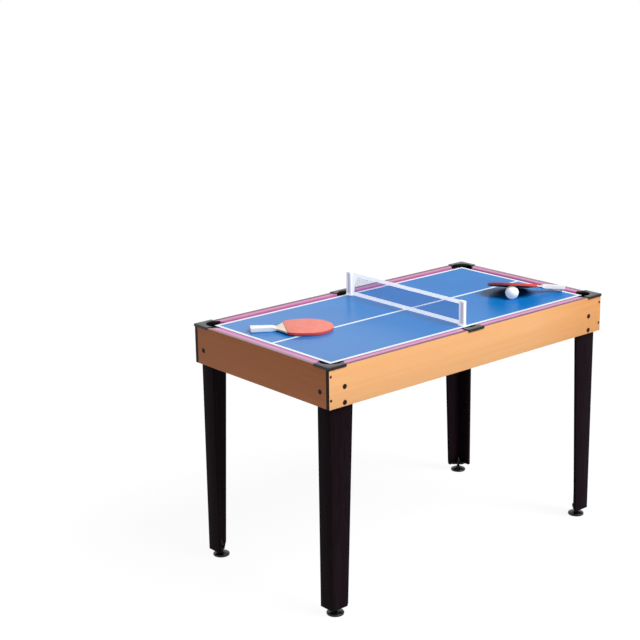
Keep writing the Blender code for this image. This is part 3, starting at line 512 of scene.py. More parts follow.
CUSHION_CLOTH = cushion_cloth()
low, high = node_box("rail_cushion_rear_right")
width = high[1] - low[1]
half_length = (high[0] - low[0]) / 2
points = cushion_points(half_length - RAIL_FLARE, width, high[2] - low[2])
points = points + ((low[0] + high[0]) / 2, high[1], low[2])
for corner, (x, y) in CORNERS.items():
    made = piece(f"cushion_{corner}", [grid(points * (x, y, 1))], CUSHION_CLOTH, "cabinet",
                 [f"rail_cushion_{corner}"])
low, high = node_box("rail_cushion_right_end")
half_length = (high[1] - low[1]) / 2
points = cushion_points(half_length - RAIL_FLARE, width, high[2] - low[2])
points = points[..., [1, 0, 2]] + (high[0], 0, low[2])
for end, x in ENDS.items():
    made = piece(f"cushion_{end}", [grid(points * (x, 1, 1))], CUSHION_CLOTH, "cabinet",
                 [f"rail_cushion_{end}_end"])

# Pockets
# Black moulded plastic. A cap hooks over the panels, a curved wall stands behind the opening, and a cup hangs
# below the bed. The corner caps are L-shaped and the middle ones straight.
POCKET_X, POCKET_Y = 0.5012, 0.2467
CUP_RADIUS, CUP_FLOOR = 0.019, 0.6355
POCKET_WALL, WALL_INNER = 0.0015, 0.0318
LEDGE_TOP = 0.6795
CAP_HIGH = node_box("corner_pocket_rear_right")[1]
CAP_UNDER = RAIL_TOP + SEAT
SKIRT_LOW = RAIL_TOP - 0.005
CAP_BAND = 0.021
CAP_ARM = 0.063
SIDE_CAP = 0.0325


def nearest_line(angles, lines, sharpness):
    """Distance along each ray from the middle to the nearest of several straight lines, each given by its
    normal's angle and its distance. The corner between two lines is rounded: (sum of r^-n)^(-1/n)."""
    facing = np.array([distance / np.maximum(np.cos(angles - normal), 1e-3) for normal, distance in lines])
    least = facing.min(axis=0)
    return least * np.sum((least / facing) ** sharpness, axis=0) ** (-1 / sharpness)


def cap_shell(angles, outer, skirt, ends):
    """A cap about its pocket's middle: from the opening out to the lines of its outer faces and its ends.

    Each ray has the same section, a flat top that turns down at the outer faces into a skirt. Where a ray
    leaves through an end face there is no skirt.
    """
    reach = nearest_line(angles, outer + ends, 60)
    through_end = nearest_line(angles, ends, 400) < nearest_line(angles, outer, 400)
    skirt_reach = np.where(through_end, reach - 2e-5, nearest_line(angles, skirt, 60))
    skirt_low = np.where(through_end, CAP_UNDER - 1e-5, SKIRT_LOW)
    inner = np.minimum(np.full_like(angles, WALL_INNER), reach - 4e-5)
    skirt_reach = np.clip(skirt_reach, inner + 1e-5, reach - 1e-5)
    under = np.full_like(angles, CAP_UNDER)
    top = np.full_like(angles, CAP_HIGH[2])
    section = np.stack([[inner, inner, reach, reach, skirt_reach, skirt_reach],
                        [under, top, top, skirt_low, skirt_low, under]]).T
    room = np.minimum(7e-4, np.maximum(reach - inner, 0) * 0.3)
    sides = np.linalg.norm(np.roll(section, -1, axis=1) - section, axis=-1)
    shorter = np.minimum(sides, np.roll(sides, 1, axis=1))
    outline = softened(section, np.minimum(room[:, None], shorter * 0.45), 3)
    return grid(turned(outline[..., 0], outline[..., 1], angles[:, None]))


def cup_shell(around=64):
    """The cup and its ledge, turned about the pocket's middle: a thin wall with a floor and a rolled edge."""
    outer = CUP_RADIUS + POCKET_WALL
    rim = WALL_INNER + POCKET_WALL
    under, ledge_under = CUP_FLOOR - POCKET_WALL, LEDGE_TOP - POCKET_WALL
    profile = [(0, under), (outer - 2e-3, under), (outer, CUP_FLOOR + 1e-3), (outer, ledge_under),
               (rim, ledge_under), (rim, LEDGE_TOP), (CUP_RADIUS + 1e-3, LEDGE_TOP),
               (CUP_RADIUS, LEDGE_TOP - 1e-3), (CUP_RADIUS, CUP_FLOOR + 2e-3), (CUP_RADIUS - 2e-3, CUP_FLOOR),
               (0, CUP_FLOOR)]
    r, z = np.array(profile).T[:, :, None]
    return grid(turned(r, z, np.linspace(0, 2 * pi, around, endpoint=False)), capped=False)


def wall_shell(start, end):
    """The upright wall behind the opening, an arc of constant section from one angle to another. It ends
    where it meets the slanted ends of the cushions."""
    angles = np.linspace(start, end, 64)
    low, high = LEDGE_TOP - 5e-4, CAP_UNDER + 1e-3
    section = softened(np.array([(WALL_INNER + 1e-5, low), (WALL_INNER + 1e-5, high),
                                 (WALL_INNER + POCKET_WALL, high), (WALL_INNER + POCKET_WALL, low)]), 3e-4)
    return grid(turned(section[:, 0], section[:, 1], angles[:, None]))


def moved(shell, offset):
    points, quads, caps = shell
    return points + offset, quads, caps


def scaled(shell, sides):
    points, quads, caps = shell
    return points * sides, quads, caps


POCKET_PLASTIC = plain_finish(
    "black moulded plastic", {"Specular IOR Level": 0.3},
    [(0.3, 0.75), {"scale": 60, "stretch": (1, 1, 0.3), "detail": 3, "distortion": 0.6}],
    [(12, 10, 13), (22, 20, 24)], {"scale": 3200}, 2.5e-5, rough=(0.16, 0.08, 0.05))
to_x, to_y = CAP_HIGH[0] - POCKET_X, CAP_HIGH[1] - POCKET_Y
lip_x, lip_y = BOX_X + SEAT - POCKET_X, BOX_Y + SEAT - POCKET_Y
end_x, end_y = CAP_ARM - to_x, CAP_ARM - to_y
start = -np.arcsin(end_y / WALL_INNER)
corner_cap = cap_shell(
    np.concatenate([np.linspace(start, start + 0.09, 12), np.linspace(start + 0.1, pi / 2 - start - 0.1, 90),
                    np.linspace(pi / 2 - start - 0.09, pi / 2 - start, 12)]),
    [(0, to_x), (pi / 2, to_y)], [(0, lip_x), (pi / 2, lip_y)], [(-pi / 2, end_y), (pi, end_x)])
tangent = atan(width / RAIL_FLARE)
corner_shells = [corner_cap, cup_shell(), wall_shell(-tangent, pi / 2 + tangent)]
for corner, (x, y) in CORNERS.items():
    shells = [scaled(moved(shell, (POCKET_X, POCKET_Y, 0)), (x, y, 1)) for shell in corner_shells]
    piece(f"pocket_{corner}", shells, POCKET_PLASTIC, "cabinet", [f"corner_pocket_{corner}"], sharp=50)
slant = atan((CAP_HIGH[1] - CAP_BAND - POCKET_Y) / SIDE_CAP)
side_cap = cap_shell(
    np.concatenate([np.linspace(slant, slant + 0.12, 10), np.linspace(slant + 0.14, pi - slant - 0.14, 60),
                    np.linspace(pi - slant - 0.12, pi - slant, 10)]),
    [(pi / 2, to_y)], [(pi / 2, lip_y)], [(0, SIDE_CAP), (pi, SIDE_CAP)])
side_wall = wall_shell(pi / 2 - tangent, pi / 2 + tangent)
side_shells = [moved(shell, (0, POCKET_Y, 0)) for shell in (side_cap, cup_shell(), side_wall)]
for side, y in SIDES.items():
    shells = [scaled(shell, (1, y, 1)) for shell in side_shells]
    piece(f"pocket_{side}", shells, POCKET_PLASTIC, "cabinet", [f"side_pocket_{side}"], sharp=50)

# Legs
# Each leg is chipboard with a dark espresso foil, folded to an open L: a wide board that tapers on the long
# side and a narrow one on the short side. Its foot corner is cut across, and bolts hold it in the corner.
LEG_LOW, LEG_HIGH = node_box("leg_rear_right")
LEG_THICK = 0.009
LEG_FOOT, LEG_TIP = 0.057, 0.054
CUT_HEIGHT = 0.009


def leg_points():
    """The L section at each height. Its wide board's reach is a straight line from the foot to the top, and
    below the cut it falls to the tip; the other sizes stay."""
    bends = [LEG_LOW[2], LEG_LOW[2] + CUT_HEIGHT, LEG_HIGH[2]]
    heights = np.concatenate([bends[:2], np.linspace(0.1, LEG_HIGH[2], 12)])
    reach = np.interp(heights, bends, [LEG_TIP, LEG_FOOT, LEG_HIGH[0] - LEG_LOW[0]])
    narrow = LEG_HIGH[1] - LEG_LOW[1]
    section = np.array([(0, 0), (-1, 0), (-1, -LEG_THICK), (-LEG_THICK, -LEG_THICK), (-LEG_THICK, -narrow),
                        (0, -narrow)])
    outlines = np.tile(section, (len(heights), 1, 1))
    outlines[:, 1:3, 0] = -reach[:, None]
    outlines = softened(outlines, [1.4e-3, 9e-4, 9e-4, 5e-4, 9e-4, 9e-4], 3)
    return carried(outlines, heights, (2, 0, 1)) + (LEG_HIGH[0], LEG_HIGH[1], 0)


def espresso_foil():
    """Dark wood foil: faint upright grain in a near-black brown with a violet cast."""
    foil = Finish("espresso foil", {"Specular IOR Level": 0.02})
    place = foil.place()
    grain = foil.noise(place, 700, (1, 1, 0.02), 4, 0.4)
    bands = foil.noise(place, 90, (1, 1, 0.03), 3, 0.6)
    tone = foil.mix(foil.ease(grain, 0.35, 0.7), display(16, 7, 12), display(30, 19, 25))
    tone = foil.mix(foil.ease(bands, 0.4, 0.8) * 0.5, tone, display(34, 23, 28))
    return foil.feed({
        "Base Color": tone,
        "Roughness": 0.34 + grain * 0.14,
        "Normal": foil.grooves(grain, 4e-5),
    })


ESPRESSO = espresso_foil()
for corner, (x, y) in CORNERS.items():
    piece(f"espresso_leg_{corner}", [grid(leg_points() * (x, y, 1))], ESPRESSO, "cabinet", [f"leg_{corner}"],
          edge=6e-4)

# Leg bolts
# Black machine screws hold each leg: two through the long panel and one through the end panel. Each has a
# cross recess in a crowned head, a washer below it, and a nut on the inside of the leg.
BOLT_RADIUS, BOLT_CROWN, BOLT_SPARE = 0.003, 0.0016, 0.0032
BOLT_HEAD, NUT_WASHER, WASHER_THICK = 0.0071, 0.0058, 5e-4
NUT_HALF, NUT_TALL = 0.0048, 0.0023
GRIP = PANEL_THICK + SEAT + LEG_THICK


def washer(radius, hole, thick):
    """A flat ring: its softened section is turned about Z, its top at the thickness."""
    section = softened(np.array([(hole, 0), (hole, thick), (radius, thick), (radius, 0)]), 1.5e-4)
    angle = np.linspace(0, 2 * pi, 32, endpoint=False)[:, None]
    points = turned(section[:, 0], section[:, 1], angle)
    return grid(np.concatenate([points, points[:1]]), capped=False)


def hex_nut(flat, hole, low, high):
    """A six-sided nut: its radius is flat / cos of the angle from the nearest flat, held in by a cone at both
    ends, round a plain hole."""
    angle = np.linspace(0, 2 * pi, 48, endpoint=False)
    six = flat / np.cos((angle + pi / 6) % (pi / 3) - pi / 6)
    cone = np.minimum(six, flat * 1.03)
    rise = 0.1 * (high - low)
    rows = [(hole + 0 * angle, low), (cone, low), (six, low + rise), (six, high - rise), (cone, high),
            (hole + 0 * angle, high), (hole + 0 * angle, low)]
    return grid(np.array([turned(r, z, angle) for r, z in rows]), capped=False)


def zinc():
    """Bright zinc plate: pale grey metal, slightly blue, with fine scratches."""
    metal = Finish("zinc plated steel", {"Metallic": 1.0})
    place = metal.place()
    scratches = metal.noise(place, 1800, (1, 0.2, 1), 3)
    tone = metal.mix(scratches, display(150, 152, 158), display(196, 198, 202))
    return metal.feed({
        "Base Color": tone,
        "Roughness": 0.28 + scratches * 0.2,
        "Normal": metal.grooves(scratches, 1e-5),
    })


ZINC = zinc()
bolt_boxes = {node: node_box(node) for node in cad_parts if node.startswith("leg_bolt_")}
for node, (low, high) in bolt_boxes.items():
    corner, which = node.removeprefix("leg_bolt_").rsplit("_", 1)
    x, y = CORNERS[corner]
    axis = np.array((x, 0, 0) if which == "end" else (0, y, 0), float)
    seat = (low + high) / 2 * (1 - np.abs(axis)) + axis * (BOX_X if which == "end" else BOX_Y)
    turn = {"upper": 0.4, "lower": 1.1, "end": 0.8}[which] + x * 0.3
    place = pointing(axis, seat, turn)
    bolt = screw(BOLT_HEAD * 0.9, BOLT_CROWN, BOLT_RADIUS, GRIP + BOLT_SPARE)
    shells = [washer(BOLT_HEAD, BOLT_RADIUS - 1e-4, WASHER_THICK), moved(bolt, (0, 0, WASHER_THICK))]
    piece(f"machine_screw_{corner}_{which}", shells, BLACK_STEEL, "cabinet", [node], place=place)
    nut_top = -GRIP - WASHER_THICK - 1e-4
    nut = hex_nut(NUT_HALF, BOLT_RADIUS + 1e-4, nut_top - NUT_TALL, nut_top)
    ring = moved(washer(NUT_WASHER, BOLT_RADIUS + 1e-4, WASHER_THICK), (0, 0, nut_top))
    piece(f"nut_{corner}_{which}", [nut, ring], ZINC, "cabinet", place=place)

# Foot plates
# A pressed steel tray is fixed in the bottom of each leg, with a welded nut for the levelling foot. Its free
# corner is cut across. It is painted dark, and the paint is a little rough.
TRAY_LOW, TRAY_HIGH = node_box("foot_plate_rear_right")
TRAY_LONG, TRAY_SHORT, TRAY_THICK, TRAY_RIM = 0.040, 0.030, 0.002, 0.006
TRAY_CUT_LONG, TRAY_CUT_SHORT = 0.022, 0.024
STUD_X, STUD_Y = np.mean(node_box("leveller_rear_right"), axis=0)[:2]
STUD_RADIUS, WELD_NUT_HALF = 0.004, 0.0064


def tray_shell():
    """The tray about its stud. Its outline, a corner cut across, runs from the stud's hole over the floor, up
    the rim and back; inside the rim it is drawn in by the steel's thickness."""
    corner = np.array([(0, 0), (-TRAY_LONG, 0), (-TRAY_LONG, TRAY_CUT_SHORT - TRAY_SHORT),
                       (TRAY_CUT_LONG - TRAY_LONG, -TRAY_SHORT), (0, -TRAY_SHORT)])
    outline = softened(corner + TRAY_HIGH[:2], [2e-3, 1.5e-3, 3e-3, 3e-3, 1.5e-3], 4)
    outline = np.concatenate([outline[:-1] + (outline[1:] - outline[:-1]) * t for t in (0, 0.5)], axis=1)
    arm = outline.reshape(-1, 2) - (STUD_X, STUD_Y)
    away = np.linalg.norm(arm, axis=1)
    hole = np.full_like(away, STUD_RADIUS + SEAT)
    low, floor, top = TRAY_LOW[2], TRAY_LOW[2] + TRAY_THICK, TRAY_LOW[2] + TRAY_RIM
    rings = [(hole, low), (away - 6e-4, low), (away, low + 6e-4), (away, top - 2e-4), (away - 3e-4, top),
             (away - TRAY_THICK, top), (away - TRAY_THICK, floor), (hole, floor), (hole, low)]
    points = [np.column_stack([(STUD_X, STUD_Y) + arm * (r / away)[:, None], np.full_like(away, z)])
              for r, z in rings]
    return grid(np.array(points), capped=False)


PLATE_PAINT = plain_finish(
    "dark plate paint", {"Specular IOR Level": 0.15},
    [(0.4, 0.75), {"scale": 120, "detail": 4}], [(16, 12, 14), (30, 25, 28)],
    {"scale": 1200}, 3e-5, rough=(0.34, 0, 0.2))
weld_nut = hex_nut(WELD_NUT_HALF, STUD_RADIUS + 2e-4, TRAY_LOW[2] + TRAY_THICK, TRAY_HIGH[2])
weld_nut = moved(weld_nut, (STUD_X, STUD_Y, 0))
for corner, (x, y) in CORNERS.items():
    shells = [scaled(shell, (x, y, 1)) for shell in (tray_shell(), weld_nut)]
    piece(f"foot_tray_{corner}", shells, PLATE_PAINT, "cabinet", [f"foot_plate_{corner}"])

# Levelling feet
# A round black foot with a ribbed rim and a domed top, moulded on a threaded steel stud that turns up into
# the foot plate's nut.
FOOT_LOW, FOOT_HIGH = node_box("leveller_rear_right")
FOOT_RADIUS = (FOOT_HIGH[0] - FOOT_LOW[0]) / 2
FOOT_MIDDLE = (FOOT_LOW + FOOT_HIGH) / 2
NECK_RADIUS, NECK_LOW, NECK_TOP = 0.007, 0.0106, 0.015
PITCH = 0.00125


def foot_shell(around=96):
    """The foot turned about its stud. The radius of its thick round rim swings by cos(24 a) for the grip; the
    low dome rises with the square of a sine to a six-sided neck that has rounded corners."""
    angle = np.linspace(0, 2 * pi, around, endpoint=False)
    arc = np.linspace(0, pi / 2, 9)[1:]
    grip = np.cos(24 * angle)
    rim = [(-1.8e-3, 1e-6), (-7e-4, 5e-4), (-3e-4, 1.8e-3), (-3e-4, 4.4e-3), (-8e-4, 5.7e-3), (-2e-3, 6.5e-3)]
    rim = [(0, 1e-6, 0)] + [(FOOT_RADIUS + r, z, 1e-6 < z < 6e-3) for r, z in rim]
    dome = [(0.0074 + (FOOT_RADIUS - 0.0104) * cos(t), 6.6e-3 + 3.4e-3 * sin(t) ** 2, 0) for t in arc]
    neck = [(NECK_RADIUS, NECK_LOW, 0), (NECK_RADIUS, NECK_TOP - 8e-4, 0), (NECK_RADIUS - 8e-4, NECK_TOP, 0),
            (STUD_RADIUS - 5e-4, NECK_TOP, 0)]
    r, z, ribs = np.array(rim + dome + neck).T[:, :, None]
    r = r + ribs * 2e-4 * (grip - 1)
    six = 1 - 0.05 * (1 - np.cos(6 * angle))
    r = np.where(z > NECK_LOW - 1e-4, r * six, r)
    return grid(turned(r, z, angle), capped=False)


def thread_shell(low, high, around=24):
    """A screw thread: at height z and angle a the radius is R less a depth times the triangle wave of
    z / pitch - a / 2 pi."""
    angle = np.linspace(0, 2 * pi, around, endpoint=False)
    z = np.arange(low, high, PITCH / 6)[:, None]
    phase = (z / PITCH - angle / (2 * pi)) % 1
    fade = np.clip((high - z) / 0.0015, 0, 1)
    r = STUD_RADIUS - 6.5e-4 * (1 - np.abs(2 * phase - 1)) - 6e-4 * (1 - fade)
    return grid(turned(r, z, angle))


def foot_finish():
    """Glossy black plastic on the foot, and black plated steel on the stud above it."""
    finish = Finish("levelling foot", {"Specular IOR Level": 0.35})
    place = finish.own_place()
    height = finish.split(place)[2]
    grain = finish.noise(place, 2400, detail=2)
    stud = height > NECK_TOP + 1e-5
    black = finish.mix(grain, display(10, 9, 12), display(20, 19, 23))
    steel = finish.mix(grain, display(24, 22, 26), display(46, 44, 48))
    return finish.feed({
        "Base Color": finish.mix(stud, black, steel),
        "Metallic": stud,
        "Roughness": 0.22 + grain * 0.12,
        "Normal": finish.grooves(grain, 1.5e-5),
    })


FOOT_FINISH = foot_finish()
for corner, (x, y) in CORNERS.items():
    shells = [foot_shell(), thread_shell(NECK_TOP, FOOT_HIGH[2])]
    place = pointing((0, 0, 1), (x * FOOT_MIDDLE[0], y * FOOT_MIDDLE[1], 0), turn=0.2 * x)
    piece(f"levelling_foot_{corner}", shells, FOOT_FINISH, f"leveller_{corner}", [f"leveller_{corner}"],
          place=place)

# Game board
# A thin painted board that lies in the cabinet between the cushions. Its top is blue with white table tennis
# lines, and its underside is a white hockey field with thin red lines.
BOARD_LOW, BOARD_HIGH = node_box("tennis_board")
BOARD_X, BOARD_Y, BOARD_TOP = BOARD_HIGH
BORDER, CENTRE_LINE, FIELD_LINE = 0.0105, 0.0092, 0.0022
SIDE_LINE_X = 0.17
FIELD_CIRCLES = [(0, 0, 0.075), (0.325, 0.12, 0.06), (0.325, 0.12, 0.002), (0.49, 0, 0.09)]


def board_paint():
    """Paint by place: white within the border's width of an edge or on the centre line, else blue. Below, red
    where the distance to a line or circle of the field is under half a line's width. The polish on top is
    fuller towards the left end."""
    paint = Finish("game board paint", {"Specular IOR Level": 0.08, "Coat Roughness": 0.18})
    place = paint.place()
    x, y, z = paint.split(place)
    wide, deep = abs(x), abs(y)
    peel = paint.noise(place, 320, detail=2)
    fine = paint.noise(place, 2600, detail=2)
    clouds = paint.noise(place, 5, detail=2)
    blue = paint.mix(paint.ease(clouds, 0.3, 0.7), display(12, 117, 197), display(18, 124, 203))
    blue = paint.mix(fine * 0.08, blue, display(50, 142, 214))
    edge = (wide > BOARD_X - BORDER).math("MAXIMUM", deep > BOARD_Y - BORDER)
    lines = edge.math("MAXIMUM", deep < CENTRE_LINE / 2)
    top = paint.mix(lines, blue, display(240, 250, 255))

    def ring(middle_x, middle_y, radius):
        """1 where a point lies within half a line of that circle."""
        away = paint.join(wide - middle_x, deep - middle_y, 0.0)
        reach = paint.node("ShaderNodeVectorMath", {"operation": "LENGTH"}, {0: away}, "Value")
        return abs(reach - radius) < FIELD_LINE / 2

    field = (wide < FIELD_LINE / 2).math("MAXIMUM", abs(wide - SIDE_LINE_X) < FIELD_LINE / 2)
    for circle in FIELD_CIRCLES:
        field = field.math("MAXIMUM", ring(*circle))
    below = paint.mix(field, display(240, 241, 244), display(205, 60, 60))
    side = paint.mix(fine, display(30, 28, 32), display(46, 43, 48))
    face = paint.mix(z > BOARD_HIGH[2] - 2e-4, side, top)
    face = paint.mix(z < BOARD_LOW[2] + 2e-4, face, below)
    return paint.feed({
        "Base Color": face,
        "Roughness": 0.3 + fine * 0.1,
        "Coat Weight": paint.ease(x, 0.42, -0.62) * 0.5,
        "Normal": paint.grooves(peel * 0.7 + fine * 0.3, 1.2e-5),
    })


painted("tennis_board", board_paint())

# Hockey walls
# Dark grey plastic walls stand along the edges of the board's hockey side, which faces down here. They are
# rounded where the puck runs.


def rounded_block(low, high, radius, steps=3):
    """A block with round edges: a direction runs over a sphere by quarter turns, and each point is the
    block's inner corner on that side plus the radius times the direction."""
    low, high = np.array(low), np.array(high)
    quarter = np.linspace(0, pi / 2, steps + 1)
    around = np.concatenate([quarter + turn * pi / 2 for turn in range(4)])
    up = np.concatenate([quarter - pi / 2, quarter])[:, None]
    side_x = np.repeat([1, -1, -1, 1], steps + 1)
    side_y = np.repeat([1, 1, -1, -1], steps + 1)
    side_z = np.repeat([-1, 1], steps + 1)[:, None]
    inner = (high - low) / 2 - radius
    x = side_x * inner[0] + radius * np.cos(up) * np.cos(around)
    y = side_y * inner[1] + radius * np.cos(up) * np.sin(around)
    z = side_z * inner[2] + radius * np.sin(up) + 0 * around
    return grid(np.stack([x, y, z], axis=-1) + (low + high) / 2)


def moulded(name, tones, roughness):
    """Plain moulded plastic: a fine grain and a slow change between two tones."""
    flow = {"scale": 40, "detail": 3, "distortion": 0.5}
    return plain_finish(name, {"Specular IOR Level": 0.5}, [(0.3, 0.7), flow], tones, {"scale": 2200}, 2e-5,
                        rough=(roughness, 0.12, 0))


WALL_PLASTIC = moulded("grey wall plastic", [(50, 52, 58), (68, 70, 76)], 0.38)
for where in ("front", "rear", "left", "right"):
    low, high = node_box(f"hockey_wall_{where}")
    piece(f"puck_wall_{where}", [rounded_block(low, high, 0.0015)], WALL_PLASTIC, "board",
          [f"hockey_wall_{where}"])

# Hockey goals
# A glossy red box at each end of the hockey side, with a low slot next to the field where the puck goes in.
GOAL_LOW, GOAL_HIGH = node_box("hockey_goal_right")
SLOT_DEEP, SLOT_TALL, CHEEK = 0.012, 0.010, 0.012


def goal_points():
    """Section of the goal across the table: a block whose upper inner corner is cut away between the
    cheeks."""
    mouth, back = GOAL_LOW[0], GOAL_HIGH[0]
    low, high = GOAL_LOW[2], GOAL_HIGH[2]
    half = GOAL_HIGH[1]
    stations = np.array([-half, -half + CHEEK, -half + CHEEK, half - CHEEK, half - CHEEK, half])
    deep = np.array([0, 0, 1, 1, 0, 0])[:, None]
    slot_x = mouth + 2e-4 + deep * (SLOT_DEEP - 2e-4)
    slot_z = high - 2e-4 - deep * (SLOT_TALL - 2e-4)
    x = np.hstack([np.full((6, 3), (mouth, back, back)), slot_x, slot_x, np.full((6, 1), mouth)])
    z = np.hstack([np.full((6, 4), (low, low, high, high)), slot_z, slot_z])
    outlines = softened(np.stack([x, z], axis=-1), [1.2e-3, 8e-4, 5e-4, 8e-5, 8e-5, 8e-5])
    return carried(outlines, stations, (1, 0, 2))


GOAL_PLASTIC = moulded("red goal plastic", [(196, 34, 32), (214, 48, 44)], 0.26)
for end, x in ENDS.items():
    piece(f"puck_goal_{end}", [grid(goal_points() * (x, 1, 1))], GOAL_PLASTIC, "board",
          [f"hockey_goal_{end}"], edge=5e-4)

# Net posts
# White moulded posts, one at each side: a thin upright with a sunk panel in both broad faces, on a small foot
# with a peg that sits in the board.
POST_LOW, POST_HIGH = node_box("net_post_rear")
POST_Y = (POST_LOW[1] + POST_HIGH[1]) / 2
POST_HALF_X, POST_HALF_Y, POST_FRAME, PANEL_SUNK = 0.0045, 0.010, 0.0042, 0.0015
FOOT_TOP = 0.003
PEG_LENGTH, PEG_RADIUS = 0.006, 0.003


def post_shells():
    """Foot and peg, and an upright whose section is an H between its ends, where its panels are sunk."""
    top = POST_HIGH[2]
    base = BOARD_TOP + FOOT_TOP
    heights = np.array([base - 1e-3, base + POST_FRAME, base + POST_FRAME + 6e-4, top - POST_FRAME - 6e-4,
                        top - POST_FRAME, top - 8e-4, top])
    depth = np.array([0, 0, 1, 1, 0, 0, 0]) * PANEL_SUNK + 1e-5
    drawn = np.array([0, 0, 0, 0, 0, 0, 6e-4])
    edge = POST_HALF_Y - POST_FRAME
    base_section = [(1, 1), (-1, 1), (-1, edge), (-2, edge - 6e-4), (-2, -edge + 6e-4), (-1, -edge),
                    (-1, -1), (1, -1), (1, -edge), (2, -edge + 6e-4), (2, edge - 6e-4), (1, edge)]
    outlines = np.zeros((len(heights), 12, 2))
    for at, (x, y) in enumerate(base_section):
        side = np.sign(x)
        outlines[:, at, 0] = side * (POST_HALF_X - drawn - (depth if abs(x) == 2 else 0))
        outlines[:, at, 1] = y * (POST_HALF_Y - drawn) if abs(y) == 1 else y
    outlines = softened(outlines, np.tile([5.8e-4, 5.8e-4, 8e-5, 8e-5, 8e-5, 8e-5], 2))
    upright = carried(outlines, heights, (2, 0, 1)) + (0, POST_Y, 0)
    foot = rounded_block((*POST_LOW[:2], BOARD_TOP + SEAT), (*POST_HIGH[:2], base), 9e-4)
    tip = BOARD_TOP - PEG_LENGTH
    r = np.array([PEG_RADIUS, PEG_RADIUS, PEG_RADIUS - 6e-4])[:, None]
    z = np.array([base - 5e-4, tip + 6e-4, tip])[:, None]
    peg = turned(r, z, np.linspace(0, 2 * pi, 24, endpoint=False)) + (0, POST_Y, 0)
    return [grid(upright), foot, grid(peg)]


def post_plastic():
    """White moulded plastic. It lets light through, which a faint glow stands in for. Where it is sunk, on
    the panels, its texture is rougher, and it is greyer by painted shade in the recess, which also dims its
    glow."""
    plastic = Finish("white post plastic", {"Specular IOR Level": 0.3, "Emission Strength": 0.38})
    x, y, z = plastic.split(plastic.place())
    grain = plastic.noise(plastic.place(), 2200)
    frame_edge = POST_FRAME + 6e-4
    in_panel = (abs(abs(y) - POST_Y) < POST_HALF_Y - frame_edge) * (z < POST_HIGH[2] - frame_edge)
    sunk = (abs(x) < POST_HALF_X - 7e-4) * in_panel
    # Painted shade: the sunk panels are greyer, as shade in the recess.
    tone = plastic.mix(sunk, display(250, 250, 251), display(200, 198, 212))
    return plastic.feed({
        "Base Color": tone,
        "Emission Color": tone,
        "Roughness": 0.3 + sunk * 0.2 + grain * 0.1,
        "Normal": plastic.grooves(grain, 2e-5),
    })


POST_PLASTIC = post_plastic()
for side, y in SIDES.items():
    piece(f"post_{side}", [scaled(shell, (1, y, 1)) for shell in post_shells()], POST_PLASTIC, "net_set",
          [f"net_post_{side}"])

# Net
# Fine knotless netting held between two white cotton tapes, which are folded over its top and bottom edges
# and sewn. A narrow tape closes it at the front post, and a curved gusset of the same cotton at the rear one.
NET_LOW, NET_HIGH = node_box("net")
NET_REACH = NET_HIGH[1]
TAPE, TUCK = 0.011, 0.003
CELL, THREAD = 0.003, 0.00029
OPENWORK_SHARE = 0.5


def thread_shells(starts, ends, radius):
    """Straight threads: a square ring about each end of a thread, joined by four faces and closed by two."""
    along = (ends - starts) / np.linalg.norm(ends - starts, axis=1, keepdims=True)
    side = np.cross(along, (1.0, 0, 0))
    out = np.full_like(side, (1.0, 0, 0))
    ring = np.stack([side, out, -side, -out], axis=1) * radius
    points = np.stack([starts[:, None] + ring, ends[:, None] + ring], axis=1)
    number = np.arange(points.shape[0] * 8).reshape(-1, 2, 4)
    following = np.roll(number, -1, axis=2)
    sides = np.stack([number[:, 0], following[:, 0], following[:, 1], number[:, 1]], axis=-1)
    closed = np.stack([number[:, 0, ::-1], number[:, 1]], axis=1)
    return points.reshape(-1, 3), np.concatenate([sides, closed], axis=1).reshape(-1, 4), []


def netting():
    """Upright threads a cell apart, and level threads a cell apart that shift forward by a thread's width."""
    reach = NET_REACH - 2e-3
    low, high = NET_LOW[2] + TAPE - TUCK, NET_HIGH[2] - TAPE + TUCK
    y = np.linspace(-reach, reach, round(2 * reach / CELL) + 1)
    z = np.linspace(low, high, round((high - low) / CELL) + 1)
    feet, tops = [np.stack([0 * y, y, 0 * y + height], axis=-1) for height in (low, high)]
    starts, ends = [np.stack([0 * z + THREAD, 0 * z + end, z], axis=-1) for end in (-reach, reach)]
    return [thread_shells(feet, tops, THREAD), thread_shells(starts, ends, THREAD)]


def tape_points(low, high, reach, rows=121):
    """A folded tape: a thin hoop section, flat-sided and round at its fold, that waves a little from side to
    side along its length."""
    angle = np.linspace(0, 2 * pi, 28, endpoint=False)
    half, half_thick = (high - low) / 2, 5.2e-4
    x = half_thick * np.sign(np.cos(angle)) * np.abs(np.cos(angle)) ** 0.45
    z = half * np.sign(np.sin(angle)) * np.abs(np.sin(angle)) ** 0.9
    y = np.linspace(-reach, reach, rows)[:, None]
    wave = 1.5e-4 * np.sin(y * 70) + 1e-4 * np.sin(y * 173 + 1)
    return np.stack([x + wave, y + 0 * angle, (low + high) / 2 + z + 0 * y], axis=-1)


def end_points(side, wide, narrow):
    """An end piece between the tapes: at height t its width falls from wide at the top tape to narrow at the
    bottom one, as narrow + (wide - narrow) t^2.2."""
    t = np.linspace(0, 1, 13)
    width = narrow + (wide - narrow) * t ** 2.2
    low, high = NET_LOW[2] + TAPE - 1e-3, NET_HIGH[2] - TAPE + 1e-3
    half_thick = 3.8e-4
    outline = np.array([(1, 0), (1, 1), (-1, 1), (-1, 0)]) * (half_thick, 1)
    z = (low + (high - low) * t)[:, None] + 0 * outline[:, 0]
    y = side * (NET_REACH - width[:, None] * outline[:, 1])
    return np.stack([outline[:, 0] + 0 * z, y, z], axis=-1)


